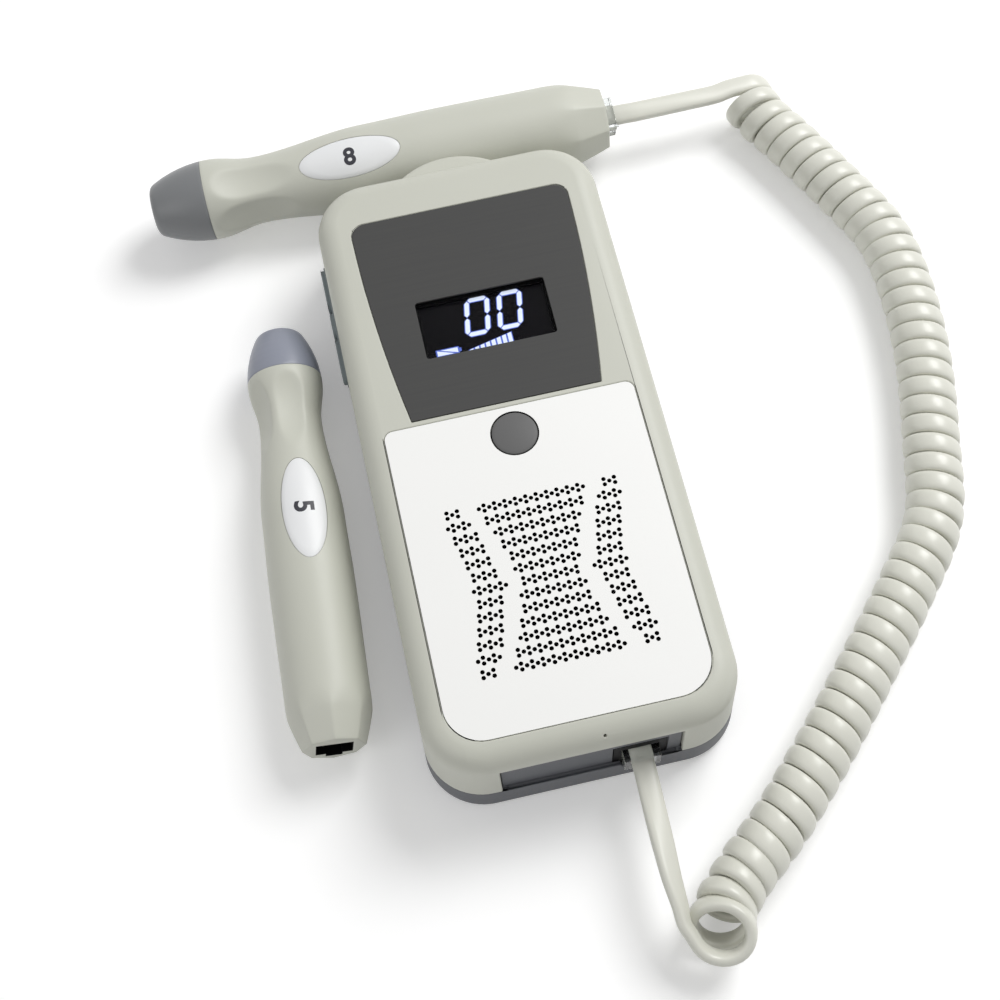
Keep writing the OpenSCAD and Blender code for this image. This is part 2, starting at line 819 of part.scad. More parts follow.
module side_switch(k) {
    mid = (k[0] + k[1]) / 2;
    color(black)
    difference() {
        box(-side_switch_x, -side_switch_x + side_switch_d, mid - side_switch_w / 2, mid + side_switch_w / 2,
            keypad_z - side_switch_low, board_bottom);
        translate([-side_switch_x - over, mid, keypad_z])
            rotate([0, 90, 0])
                cylinder(r = side_plunger_r + fit_gap, h = over + travel + key_rim);
    }
}

module side_plunger(k) {
    color(dark)
    translate([-key_stem_end, (k[0] + k[1]) / 2, keypad_z])
        rotate([0, 90, 0])
            cylinder(r = side_plunger_r, h = key_stem_end - side_switch_x);
}

// Circuit board, notched round the screw bosses
notch_play = 0.4;
corner_notch = [6, 5];

module circuit_board() {
    color(board_green)
    translate([0, 0, board_bottom])
        linear_extrude(board_t)
            difference() {
                square([2 * board_half_w, 2 * board_half_l], center = true);
                for (sx = [-1, 1])
                    for (sy = [-1, 1]) {
                        translate([sx * screw_x, sy * screw_y])
                            circle(r = boss_r + notch_play);
                        translate([sx * (screw_x + corner_notch[0] / 2), sy * (screw_y + corner_notch[1] / 2)])
                            square([corner_notch[0] + 2 * boss_r, corner_notch[1] + boss_r], center = true);
                    }
            }
}

// Modular sockets and plugs, in their own frame: mouth at z = 0, plug pushed in along -Z, width along Y,
// latch towards -X
mouth_gap = 0.125;
mouth_w = plug_w + 2 * mouth_gap;
mouth_h = plug_h + 0.4;
latch_w = 3.1;
latch_room = 1.6;
wire_room = 1.7;
wire_t = 0.4;
tail_wall = 1.2;
neck_w = 8.8;
neck_h = 7.8;
neck_d = 4;
blade_t = 0.3;
blade_slot = 0.5;
blade_l = 3.2;
plug_nose = -(plug_l - plug_out);
slot_deep = 1.1;

module mouth_cut(deep) {
    translate([-mouth_h / 2, -mouth_w / 2, -deep])
        cube([mouth_h, mouth_w, deep + over]);
    translate([-mouth_h / 2 - latch_room, -latch_w / 2 - 0.25, -deep])
        cube([latch_room + over, latch_w + 0.5, deep + over]);
}

module wire_cut() {
    translate([mouth_h / 2 - over, -cores * core_pitch / 2 - 0.3, -socket_d + 1])
        cube([wire_room + over, cores * core_pitch + 0.6, socket_d - 5.2]);
}

// A spring wire runs from its root near the mouth down into the plug's slot, just over the blade
wire_root = -4.3;
wire_top = mouth_h / 2 + wire_room - 0.1;
wire_low = plug_h / 2 - slot_deep / 2;
wire_dip = plug_nose + 2.6;
wire_points = [
    [wire_top - wire_t, wire_root], [wire_top, wire_root], [wire_top, wire_root - 0.8],
    [wire_low + wire_t, wire_dip], [wire_low + wire_t, wire_dip - 1.2], [wire_low, wire_dip - 1.2],
    [wire_low, wire_dip + 0.2], [wire_top - wire_t, wire_root - 0.6]
];

module at_cores() {
    for (i = [0 : cores - 1])
        translate([0, (i - (cores - 1) / 2) * core_pitch, 0])
            children();
}

module contact_wires() {
    color(gold)
    at_cores()
        translate([0, wire_t / 2, 0])
            rotate([90, 0, 0])
                linear_extrude(wire_t)
                    polygon(wire_points);
}

module plug_body() {
    nose_step = 0.6;
    color(clear)
    difference() {
        union() {
            translate([-plug_h / 2, -plug_w / 2, plug_nose])
                cube([plug_h, plug_w, plug_l]);
            // Latch, rooted at the nose and standing off the body
            translate([0, latch_w / 2, 0])
                rotate([90, 0, 0])
                    linear_extrude(latch_w)
                        polygon([
                            [-plug_h / 2 + eps, plug_nose], [-plug_h / 2 - 0.5, plug_nose + nose_step],
                            [-plug_h / 2 - 1.3, plug_out + 1.6], [-plug_h / 2 - 0.6, plug_out + 1.6],
                            [-plug_h / 2 + eps, plug_nose + 2]
                        ]);
        }
        at_cores()
            translate([plug_h / 2 - slot_deep, -blade_slot / 2, plug_nose - over])
                cube([slot_deep + over, blade_slot, blade_l + 1 + over]);
    }
}

module plug_blades() {
    color(gold)
    at_cores()
        translate([plug_h / 2 - slot_deep, -blade_t / 2, plug_nose + 0.4])
            cube([slot_deep / 2 - 0.05, blade_t, blade_l]);
}

// Frames of the three sockets
module at_unit_socket() {
    translate([socket_x, panel_face, socket_z])
        rotate([90, 0, 0])
            rotate([0, 0, 90])
                children();
}

module at_probe() {
    translate([-holder_tip, holder_y, holder_z])
        rotate([holder_roll, 0, 0])
            rotate([0, 90, 0])
                rotate([0, 0, 180])
                    children();
}

module at_spare() {
    translate([spare_tip_x, spare_tip_y, body_r * spare_size])
        rotate([0, 0, -90 - spare_turn])
            rotate([-spare_roll, 0, 0])
                rotate([0, 90, 0])
                    rotate([0, 0, 180])
                        children();
}

module at_tail(size = 1) {
    translate([0, 0, probe_l * size])
        children();
}

module socket_housing() {
    color(black)
    at_unit_socket()
        difference() {
            translate([-socket_low, -socket_w / 2, -socket_d])
                cube([board_bottom - socket_z + socket_low, socket_w, socket_d]);
            mouth_cut(socket_d - 1.8);
            wire_cut();
        }
}

module tail_socket_form(g) {
    translate([-neck_h / 2 - g, -neck_w / 2 - g, -neck_d - g])
        cube([neck_h + 2 * g, neck_w + 2 * g, neck_d - tail_wall + g]);
    translate([-socket_low + 0.4 - g, -neck_w / 2 - g, -socket_d - g])
        cube([socket_low + 5 + 2 * g, neck_w + 2 * g, socket_d - neck_d + 2 * g]);
}

module tail_socket() {
    color(black)
    difference() {
        tail_socket_form(0);
        mouth_cut(socket_d - 1.8);
        wire_cut();
    }
}

// Probe: radius of the body at a distance t from the tip
function ease(u) = (1 - cos(180 * u)) / 2;
function between(t, t0, t1, r0, r1) = r0 + (r1 - r0) * ease((t - t0) / (t1 - t0));
cap_widest = 14.5;
cap_flank_r = 29;
tip_round = 2.4;
tip_turn = 63;
shoulder_at = 53;
belly_at = 70;
function probe_r(t) =
    t <= cap_widest ? cap_r - cap_flank_r + sqrt(pow(cap_flank_r, 2) - pow(cap_widest - t, 2))
    : t <= waist_at ? between(t, cap_widest, waist_at, cap_r, waist_r)
    : t <= shoulder_at ? between(t, waist_at, shoulder_at, waist_r, ring_r)
    : t <= belly_at ? between(t, shoulder_at, belly_at, ring_r, body_r)
    : between(t, belly_at, ring_at, body_r, ring_r);
ring_at = probe_l - tail_l;
tip_steps = 5;
tip_arc = [for (i = [0 : tip_steps]) let (a = 180 - tip_turn * i / tip_steps)
    [face_r + tip_round * sin(a), tip_round + tip_round * cos(a)]];
flank_t = [2.5, 4, 6, 8, 10, 12];
body_steps = 34;
body_t = [for (i = [0 : body_steps]) cap_l + (ring_at - cap_l) * i / body_steps];

module probe_form(d, t0, t1) {
    flank = [for (t = flank_t) [probe_r(t) + d, t]];
    grip = [for (t = body_t) [probe_r(t) + d, t]];
    whole = concat([[0, 0]], tip_arc, flank, grip, [[tail_r + 1.2 + d, probe_l], [0, probe_l]]);
    intersection() {
        rotate_extrude($fn = 96)
            polygon(whole);
        translate([0, 0, t0])
            cylinder(r = 2 * body_r, h = t1 - t0);
    }
}

module tail_cuts() {
    taper = atan((ring_r - tail_r) / (probe_l - ring_at));
    for (i = [0 : tail_flats - 1])
        rotate([0, 0, (i + 0.5) * 360 / tail_flats])
            translate([tail_r * cos(180 / tail_flats), 0, probe_l])
                rotate([0, -taper, 0])
                    translate([0, -body_r, -2 * body_r])
                        cube([body_r, 2 * body_r, 4 * body_r]);
}

module oval_prism(at, g) {
    oval_steps = 48;
    translate([0, 0, at])
        rotate([0, 90, 0])
            linear_extrude(2 * body_r)
                polygon([for (i = [0 : oval_steps - 1]) let (a = 360 * i / oval_steps)
                    [(label_l / 2 + g) * cos(a), (label_w / 2 + g) * sin(a)]]);
}

module dimple(angle) {
    rotate([0, 0, angle])
        translate([waist_r - dimple_deep + dimple_ball, 0, waist_at])
            sphere(r = dimple_ball, $fn = 96);
}

spigot_r = 6.5;
spigot_l = 3;

// The moulding is made at its own size; label and socket keep theirs on both probes
module probe_body_form(size, at) {
    color(putty)
    difference() {
        scale(size)
            difference() {
                union() {
                    probe_form(0, cap_l, probe_l);
                    translate([0, 0, cap_l - spigot_l])
                        cylinder(r = spigot_r, h = spigot_l + 1);
                }
                tail_cuts();
                for (a = [0, dimple_angle, 180])
                    dimple(a);
            }
        difference() {
            oval_prism(at, 0.1);
            scale(size)
                probe_form(-label_t, at / size - label_l, at / size + label_l);
        }
        at_tail(size)
            tail_socket_form(fit_gap);
        at_tail(size)
            mouth_cut(2 * tail_wall);
    }
}

module probe_cap_form(size) {
    scale(size)
        difference() {
            probe_form(0, -over, cap_l);
            translate([0, 0, cap_l - spigot_l - fit_gap])
                cylinder(r = spigot_r + fit_gap, h = 2 * spigot_l);
        }
}

module probe_label_form(size, at) {
    color(white)
    intersection() {
        oval_prism(at, 0);
        scale(size)
            difference() {
                probe_form(0, at / size - label_l, at / size + label_l);
                probe_form(-label_t, at / size - 2 * label_l, at / size + 2 * label_l);
            }
    }
}

// Batteries, springs and contact plates; the middle cell lies the other way round
plate_thick = 0.4;
contact_half_w = 4.5;
contact_half_h = 5.5;
nub_r = 2.7;
nub_l = 1.2;
cell_z = floor_t + 2 * contact_gap + cell_d / 2;
cell_mid = (bay_y0 + bay_y1) / 2;
turned = [false, true, false];

module at_cell(i) {
    translate([(i - (cells - 1) / 2) * cell_pitch, cell_mid, cell_z])
        rotate([0, 0, turned[i] ? 180 : 0])
            children();
}

// One cell along +Y with its nub at the + end, which touches the contact plate
module cell(i) {
    end = bay_l / 2 - plate_thick;
    color(cell_blue)
    at_cell(i) {
        translate([0, end - nub_l, 0])
            rotate([90, 0, 0])
                cylinder(r = cell_d / 2, h = cell_l - nub_l);
        translate([0, end, 0])
            rotate([90, 0, 0])
                cylinder(r = nub_r, h = nub_l + root);
    }
}

spring_turns = 3;
spring_wire = 0.7;
spring_wide = 5;
spring_narrow = 2.6;
function spring_point(a, room) = let (r = spring_wide - (spring_wide - spring_narrow) * a / (360 * spring_turns))
    [r * cos(a), room * a / (360 * spring_turns), r * sin(a)];

module battery_springs() {
    start = -bay_l / 2 + plate_thick;
    room = bay_l - 2 * plate_thick - cell_l;
    rings = 8 * spring_turns;
    wire_z = spring_wire / 2;
    path = [for (k = [0 : rings])
        spring_point(360 * k / 8, room - 2 * wire_z) + [0, wire_z, 0]];
    color(metal)
    for (i = [0 : cells - 1])
        at_cell(i)
            translate([0, start, 0])
                sweep(path, [for (p = path) [0, 1, 0]], [unit(path[1] - path[0]), unit(path[rings] - path[rings - 1])],
                    spring_wire, spring_wire, round_six);
}

module battery_plates() {
    color(metal)
    for (i = [0 : cells - 1])
        at_cell(i)
            for (s = [-1, 1])
                translate([-contact_half_w, s > 0 ? bay_l / 2 - plate_thick : -bay_l / 2, -contact_half_h])
                    cube([2 * contact_half_w, plate_thick, 2 * contact_half_h]);
}

// Battery door: two tabs under the floor's edge at the jack end, a thumb groove and a latch finger
latch_half_w = 5;
latch_t = 0.9;
latch_h = 4;
tab_root = 2;
grip_half_w = 8;
grip_step = 1.6;
grip_d = 0.5;

module battery_door() {
    y0 = bay_y0 + fit_gap;
    latch_y = bay_y1 + bay_wall + 1;
    color(slate)
    difference() {
        union() {
            box(-door_half_w, door_half_w, y0, door_y1, 0, floor_t - contact_gap);
            for (x = tab_x) {
                box(x - tab_w / 2, x + tab_w / 2, y0 - tab_reach, y0 + tab_root, floor_t + contact_gap,
                    floor_t + tab_h);
                box(x - tab_w / 2, x + tab_w / 2, y0, y0 + tab_root, floor_t - over, floor_t + tab_h);
            }
            box(-latch_half_w, latch_half_w, latch_y, latch_y + latch_t, floor_t - over, floor_t + latch_h);
        }
        for (i = [0 : 4]) {
            y = door_y1 - 10 + grip_step * i;
            box(-grip_half_w, grip_half_w, y, y + grip_step / 2, -over, grip_d);
        }
    }
}

// Case screws: pan heads in the rear shell, shanks up into the front shell's bosses
head_h = 1.8;
shank_l = 12;
cross_l = 1.4;
cross_w = 0.3;
cross_d = 0.9;

module case_screws() {
    color(metal)
    at_screws()
        difference() {
            union() {
                translate([0, 0, screw_seat - head_h])
                    cylinder(r = head_r, h = head_h);
                translate([0, 0, screw_seat - eps])
                    cylinder(r = shank_r - shank_play, h = shank_l);
            }
            for (a = [0, 90])
                rotate([0, 0, a])
                    translate([-cross_l, -cross_w, screw_seat - head_h - over])
                        cube([2 * cross_l, 2 * cross_w, over + cross_d]);
        }
}

// Sweeps: a tube of a given section along a path, flat side up along the ups, its ends square to the ways
round_six = [[1, 0], [0.5, 0.87], [-0.5, 0.87], [-1, 0], [-0.5, -0.87], [0.5, -0.87]];
flat_six = [[1, 0], [0.62, 1], [-0.62, 1], [-1, 0], [-0.62, -1], [0.62, -1]];
flat_eight = [[1, 0.45], [0.72, 1], [-0.72, 1], [-1, 0.45], [-1, -0.45], [-0.72, -1], [0.72, -1], [1, -0.45]];
function unit(v) = v / norm(v);
function heading(path, ways, i) =
    i == 0 ? ways[0]
    : i == len(path) - 1 ? ways[1]
    : unit(unit(path[i + 1] - path[i]) + unit(path[i] - path[i - 1]));
function ring_points(p, t, up, w, h, section) =
    let (side = unit(cross(t, up)), rise = cross(side, t))
    [for (s = section) p + side * s[0] * w / 2 + rise * s[1] * h / 2];

module sweep(path, ups, ways, w, h, section) {
    n = len(section);
    last = len(path) - 1;
    points = [for (i = [0 : last])
        for (q = ring_points(path[i], heading(path, ways, i), ups[i], w, h, section)) q];
    walls = [for (i = [0 : last - 1])
        for (k = [0 : n - 1]) let (a = i * n + k, b = i * n + (k + 1) % n)
            each [[a, a + n, b], [b, a + n, b + n]]];
    caps = [for (k = [1 : n - 2])
        each [[0, k, k + 1], [last * n, last * n + k + 1, last * n + k]]];
    polyhedron(points = points, faces = concat(walls, caps), convexity = 10);
}

// Smooth route through hand-chosen points
function bend(a, b, c, d, u) = 0.5 * (2 * b + (c - a) * u
    + (2 * a - 5 * b + 4 * c - d) * u * u + (3 * b - a - 3 * c + d) * u * u * u);
function smooth(route, steps) = let (last = len(route) - 1) concat(
    [for (i = [0 : last - 1]) for (k = [0 : steps - 1])
        bend(i == 0 ? 2 * route[0] - route[1] : route[i - 1], route[i], route[i + 1],
            i == last - 1 ? 2 * route[last] - route[last - 1] : route[i + 2], k / steps)],
    [route[last]]
);
function running(path, i = 0, sum = 0) = i == len(path) - 1 ? [sum]
    : concat([sum], running(path, i + 1, sum + norm(path[i + 1] - path[i])));

// Axis of the coiled length, seen from above
coil_route = [
    [78, 86.7], [79.6, 80.4], [84.3, 71.5], [92.5, 54], [98, 40], [99, 25], [97, 6], [92, -15], [86.5, -33],
    [75, -48], [62.5, -62], [50, -75.5], [38, -87.5], [31.4, -93.3], [25.2, -98.3], [20.2, -103.3],
    [17.8, -106.7], [16.9, -109.6]
];
curl_rings = 8;
coil_rings = curls * curl_rings + 5;
all_turns = coil_rings / curl_rings;
axis_path = smooth(coil_route, 6);
axis_run = running(axis_path);
axis_x = [for (i = [0 : len(axis_path) - 1]) [axis_run[i], axis_path[i][0]]];
axis_y = [for (i = [0 : len(axis_path) - 1]) [axis_run[i], axis_path[i][1]]];
coil_length = axis_run[len(axis_run) - 1];

// Places on the coil are counted in turns from the probe's end. The first curl is a little wider. Towards the unit
// the curls tip up and spread, and the last one opens out, its free end lifted over its own side
first_swell = 0.55;
last_swell = 0.75;
last_tip = 46;
tip_turns = 6;
loop_turns = 0.875;
spread = 9;
spread_turns = 5;
end_lift = 3.4;
side_dip = 2;
way_reach = 5;
even_step = (coil_length - spread) / (all_turns - loop_turns);
function share(u) = min(max(u, 0), 1);
function swell_at(n) = first_swell * ease(share(1 - abs(n - 0.75) / 0.75))
    + last_swell * ease(share(1 - (all_turns - n) / 2.5));
function tip_at(n) = last_tip * pow(share(1 - max(all_turns - n - loop_turns, 0) / tip_turns), 2);
function lift_at(n) = let (u = all_turns - n) end_lift * ease(share(1 - u / 0.9))
    - side_dip * ease(share(1 - abs(u - 0.8) / 0.45));
function run_at(n) = let (u = all_turns - n, past = max(u - loop_turns + 0.5, 0))
    max(0, coil_length - even_step * (past > 1 ? past - 0.5 : past * past / 2)
        - spread * (1 - pow(share(1 - max(u - 0.5, 0) / spread_turns), 2)));
function axis_at(s) = [lookup(s, axis_x), lookup(s, axis_y), 0];
function axis_way(s) = unit(axis_at(min(s + way_reach, coil_length)) - axis_at(max(s - way_reach, 0)));
function outward(n) = let (t = axis_way(run_at(n)), tip = tip_at(n), a = 360 * n)
    [-t[1], t[0], 0] * sin(a) + ([0, 0, cos(tip)] - t * sin(tip)) * cos(a);
function curl_point(n) = let (swell = swell_at(n))
    axis_at(run_at(n)) + [0, 0, coil_z + swell + lift_at(n)] + (coil_r + swell) * outward(n);
curl_path = [for (k = [0 : coil_rings]) curl_point(k / curl_rings)];
curl_ups = [for (k = [0 : coil_rings]) outward(k / curl_rings)];

// Each end runs straight for one thickness of the cord before it meets its lead
lead_in = [-0.05, 0.485, 0.1];
start_side = axis_way(0);
start_way = unit([-start_side[1], start_side[0], 0] + start_side * even_step / (2 * PI * coil_r));
finish_way = unit(unit(curl_point(all_turns) - curl_point(all_turns - eps)) + lead_in);
coil_start = curl_path[0] - cord_t * start_way;
coil_finish = curl_path[coil_rings] + cord_t * finish_way;
coil_path = concat([coil_start], curl_path, [coil_finish]);
coil_ways = [start_way, finish_way];
coil_ups = concat([curl_ups[0]], curl_ups, [curl_ups[coil_rings]]);

// Least gap between one curl and the next, measured between their points
function curl_ring(k) = ring_points(coil_path[k + 1], heading(coil_path, coil_ways, k + 1), curl_ups[k],
    curl_w, cord_t, flat_six);
curl_skins = [for (k = [0 : coil_rings]) curl_ring(k)];
least_gap = min([for (k = [0 : coil_rings - curl_rings - 1]) for (j = [-1 : 1])
    for (p = curl_skins[k]) for (q = curl_skins[k + curl_rings + j]) norm(p - q)]);
cord_run = running(curl_path)[coil_rings];
echo(least_gap_between_curls = least_gap, coiled_cord_length = cord_run, axis_length = coil_length);

module coil_cord() {
    color(cord_ivory)
    sweep(coil_path, coil_ups, coil_ways, curl_w, cord_t, flat_six);
}

// Straight leads: each starts on its plug's end face and meets the coil's straight end
probe_end = [probe_l - holder_tip + plug_out, holder_y, holder_z];
unit_end = [socket_x, panel_face - plug_out, socket_z];
probe_lead_route = [
    [49, 85.1, 12.2], [55, 85.2, 12.1], [62, 85.35, 12], [69, 85.6, 11.8]
];
unit_lead_route = [
    [10.05, -83, 12.4], [9.95, -90.3, 12.3], [9.9, -96.8, 12], [10.2, -102.4, 11.2]
];
lead_straight = 2.5;
roll_up = [0, -sin(holder_roll), cos(holder_roll)];
flat_up = [0, 0, 1];

module lead_probe() {
    route = concat([probe_end, probe_end + [lead_straight, 0, 0]], probe_lead_route,
        [coil_start - lead_straight * start_way, coil_start]);
    path = smooth(route, 3);
    last = len(path) - 1;
    color(cord_ivory)
    sweep(path, [for (i = [0 : last]) roll_up * (1 - i / last) + flat_up * i / last], [[1, 0, 0], start_way],
        cord_w, cord_t, flat_eight);
}

module lead_unit() {
    route = concat([unit_end, unit_end - [0, lead_straight, 0]], unit_lead_route,
        [coil_finish + lead_straight * finish_way, coil_finish]);
    path = smooth(route, 3);
    last = len(path) - 1;
    finish_up = -coil_ups[len(coil_ups) - 1];
    color(cord_ivory)
    sweep(path, [for (i = [0 : last]) flat_up * (1 - ease(i / last)) + finish_up * ease(i / last)],
        [[0, -1, 0], -finish_way], cord_w, cord_t, flat_eight);
}

// Placing every node
front_shell();
rear_shell();
display_overlay();
display_window();
display_glass();
display_frame();
speaker_plate();
speaker_cloth();
speaker_frame();
speaker_cone();
power_button();
power_switch();
power_switch_plunger();
key_bezel();
side_key(key_up_y);  // volume_up_key
side_key(key_down_y);  // volume_down_key
side_switch(key_up_y);  // volume_up_switch
side_plunger(key_up_y);  // volume_up_plunger
side_switch(key_down_y);  // volume_down_switch
side_plunger(key_down_y);  // volume_down_plunger
circuit_board();
socket_housing();
at_unit_socket() contact_wires();  // socket_contacts
battery_door();
cell(0);  // battery_left
cell(1);  // battery_middle
cell(2);  // battery_right
battery_springs();
battery_plates();
case_screws();
at_probe() probe_body_form(1, label_at);  // probe_body
at_probe() color(slate) probe_cap_form(1);  // probe_cap
at_probe() probe_label_form(1, label_at);  // probe_label
at_probe() at_tail() tail_socket();  // probe_socket
at_probe() at_tail() contact_wires();  // probe_socket_contacts
at_probe() at_tail() plug_body();  // probe_plug
at_probe() at_tail() plug_blades();  // probe_plug_contacts
lead_probe();
coil_cord();
lead_unit();
at_unit_socket() plug_body();  // unit_plug
at_unit_socket() plug_blades();  // unit_plug_contacts
at_spare() probe_body_form(spare_size, spare_label_at);  // spare_body
at_spare() color(cap_blue) probe_cap_form(spare_size);  // spare_cap
at_spare() probe_label_form(spare_size, spare_label_at);  // spare_label
at_spare() at_tail(spare_size) tail_socket();  // spare_socket
at_spare() at_tail(spare_size) contact_wires();  // spare_socket_contacts
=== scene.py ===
# %% [markdown]
# # A hand-held vascular doppler with two probes
#
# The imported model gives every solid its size, its place and the body that it moves with. This lesson dresses it:
# each cell makes one piece or one finish, says what it is on the real object, and prints what it made. Lengths are
# written in millimetres and multiplied by MM, because Blender works in metres here.

import json
import math
from contextlib import contextmanager

import bmesh
import bpy
import numpy as np
from mathutils import Matrix, Vector

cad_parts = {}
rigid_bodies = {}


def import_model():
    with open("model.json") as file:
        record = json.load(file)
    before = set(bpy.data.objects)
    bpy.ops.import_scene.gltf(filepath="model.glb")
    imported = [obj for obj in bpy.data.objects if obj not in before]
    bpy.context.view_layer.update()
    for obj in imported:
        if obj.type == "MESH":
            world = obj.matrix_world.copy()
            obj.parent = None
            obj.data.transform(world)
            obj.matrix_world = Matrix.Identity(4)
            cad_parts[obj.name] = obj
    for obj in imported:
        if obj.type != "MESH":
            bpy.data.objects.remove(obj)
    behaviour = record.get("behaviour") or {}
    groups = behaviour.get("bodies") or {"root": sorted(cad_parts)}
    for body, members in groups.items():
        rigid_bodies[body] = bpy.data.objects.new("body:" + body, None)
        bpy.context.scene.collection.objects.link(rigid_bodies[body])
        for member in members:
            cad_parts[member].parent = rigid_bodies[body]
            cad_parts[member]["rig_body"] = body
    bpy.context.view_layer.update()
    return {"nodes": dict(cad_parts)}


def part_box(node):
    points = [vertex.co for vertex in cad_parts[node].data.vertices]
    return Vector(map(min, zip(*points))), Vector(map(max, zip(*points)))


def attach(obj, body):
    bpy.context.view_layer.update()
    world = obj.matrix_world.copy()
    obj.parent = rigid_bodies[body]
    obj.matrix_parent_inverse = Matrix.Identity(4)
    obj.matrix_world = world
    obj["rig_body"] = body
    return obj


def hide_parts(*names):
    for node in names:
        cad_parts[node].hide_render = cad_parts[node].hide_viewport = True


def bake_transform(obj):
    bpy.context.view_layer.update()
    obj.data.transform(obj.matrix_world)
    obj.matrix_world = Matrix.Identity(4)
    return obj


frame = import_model()
scene = bpy.context.scene
scene.view_settings.view_transform = "Standard"
MM = 0.001


def add(name, data):
    """An object in the scene with this mesh, text, lamp or camera."""
    made = bpy.data.objects.new(name, data)
    scene.collection.objects.link(made)
    return made


# %% [markdown]
# ## Camera
# The portrait was taken from above and a little in front, with a lens about as long as a short telephoto. The place,
# the turn and the focal length were worked out beforehand from the corners of the case, so they are plain numbers.

# %% Camera
camera_data = bpy.data.cameras.new("portrait_camera")
camera_data.sensor_width = 36
camera_data.lens = 59.352
camera_data.clip_start = 10 * MM
camera_data.clip_end = 20
camera = add("portrait_camera", camera_data)
camera.location = Vector((-23.422, -155.788, 343.486)) * MM
camera.rotation_euler = [math.radians(turn) for turn in (23.976, 2.476, -12.461)]
scene.camera = camera
print("camera at", [round(c, 4) for c in camera.location])

# %% [markdown]
# ## A small language for node trees
# A finish is a network of nodes, and so is a Geometry Nodes recipe. Written as plain Python, `1 - mask * 0.3` is
# easier to read than three boxes and four wires, so the class Term wraps a socket and lets the operators add the Math
# nodes. Both kinds of tree know the same Math node, so one class serves both.


# %% Sockets that follow arithmetic
class Term:
    """An output socket that can be added, multiplied and so on."""

    def __init__(self, tree, socket):
        self.tree, self.socket = tree, socket

    def math(self, operation, *others, swapped=False):
        """One Math node, which takes this socket first, or last where swapped."""
        node = self.tree.nodes.new("ShaderNodeMath")
        node.operation = operation
        for slot, value in zip(node.inputs, (*others, self) if swapped else (self, *others)):
            plug(self.tree, slot, value)
        return Term(self.tree, node.outputs[0])


def sign(operation, swapped=False):
    """What an arithmetic sign between a socket and anything else does."""
    return lambda self, other: self.math(operation, other, swapped=swapped)


for title, operation in (("add", "ADD"), ("sub", "SUBTRACT"), ("mul", "MULTIPLY"), ("truediv", "DIVIDE")):
    setattr(Term, f"__{title}__", sign(operation))
    setattr(Term, f"__r{title}__", sign(operation, swapped=True))
Term.__pow__ = sign("POWER")


def plug(tree, slot, value):
    """Feeds a socket with a link, with several links or with a plain value."""
    for part in value if isinstance(value, list) else [value]:
        if isinstance(part, Term):
            tree.links.new(part.socket, slot)
        else:
            slot.default_value = part


class Network:
    """A node tree with one way to add any node."""

    def __init__(self, tree):
        self.tree = tree

    def node(self, kind, inputs=None, out=0, **settings):
        """Any node: what its sockets get, the output that is wanted, and its settings."""
        made = self.tree.nodes.new(kind)
        for name, value in settings.items():
            setattr(made, name, value)
        for name, value in (inputs or {}).items():
            plug(self.tree, made.inputs[name], value)
        return Term(self.tree, made.outputs[out])


print("nodes follow arithmetic now")

# %% [markdown]
# ## What a finish is
# Every finish starts from one Principled shader. Its numbers vary a little over the surface, because no moulding is
# even: noise moves the colour by a hair, the roughness by a little more, and a fine bump gives the skin its tooth.


# %% A finish
def srgb(red, green, blue):
    """A colour as it looks on screen, 0 to 255, turned into the linear values that a shader wants."""
    return tuple(
        c / 255 / 12.92 if c / 255 <= 0.04045 else ((c / 255 + 0.055) / 1.055) ** 2.4
        for c in (red, green, blue)
    ) + (1,)


def shade(colour, factor):
    return tuple(min(1, c * factor) for c in colour[:3]) + (1,)


class Finish(Network):
    """One material, with a Principled shader that the cells below feed."""

    def __init__(self, name, colour, roughness):
        self.material = bpy.data.materials.new(name)
        self.material.use_nodes = True
        super().__init__(self.material.node_tree)
        self.shader = self.tree.nodes["Principled BSDF"]
        self.place = self.node("ShaderNodeTexCoord", out="Object")
        self.set({"Base Color": colour, "Roughness": roughness})

    def set(self, values):
        for name, value in values.items():
            plug(self.tree, self.shader.inputs[name], value)
        return self

    def noise(self, size, detail=2.0, where=None, stretch=(1, 1, 1)):
        """Noise whose blobs are about size metres across."""
        spot = self.node("ShaderNodeMapping", {"Vector": where or self.place, "Scale": stretch})
        return self.node("ShaderNodeTexNoise", {"Vector": spot, "Scale": 1 / size, "Detail": detail})

    def mix(self, amount, first, second):
        """A colour between two colours."""
        return self.node("ShaderNodeMix", {0: amount, 6: first, 7: second}, 2, data_type="RGBA", clamp_factor=True)

    def emboss(self, height, depth):
        """Small relief, depth metres high, from a value between 0 and 1."""
        return self.set({"Normal": self.node("ShaderNodeBump", {"Height": height, "Distance": depth})})


def moulded(name, colour, roughness, tooth=0.45, depth=0.006, drift=0.025, gloss=0.42):
    """Plastic, rubber, paper or metal with an even skin: tooth and depth in millimetres."""
    finish = Finish(name, colour, roughness)
    broad = finish.noise(22 * MM, 3)
    fine = finish.noise(tooth * MM, 2)
    finish.set({
        "Base Color": finish.mix(broad, shade(colour, 1 - drift), shade(colour, 1 + drift)),
        "Roughness": roughness - 0.06 + 0.12 * fine,
        "Specular IOR Level": gloss,
    })
    return finish.emboss(fine, depth * MM)


print("finishes are ready to be mixed")

# %% [markdown]
# ## What a Geometry Nodes recipe is
# A recipe takes a seed mesh, which says where or along what, and named sizes. It ends in Realize Instances and Set
# Material. The class below runs it once and keeps the plain mesh, so that nothing in the scene stays procedural that
# could change later.


# %% Making and editing meshes
def add_mesh(name, verts, faces=(), edges=()):
    """A mesh object from plain lists."""
    mesh = bpy.data.meshes.new(name)
    mesh.from_pydata([tuple(v) for v in verts], [tuple(e) for e in edges], [tuple(f) for f in faces])
    return add(name, mesh)


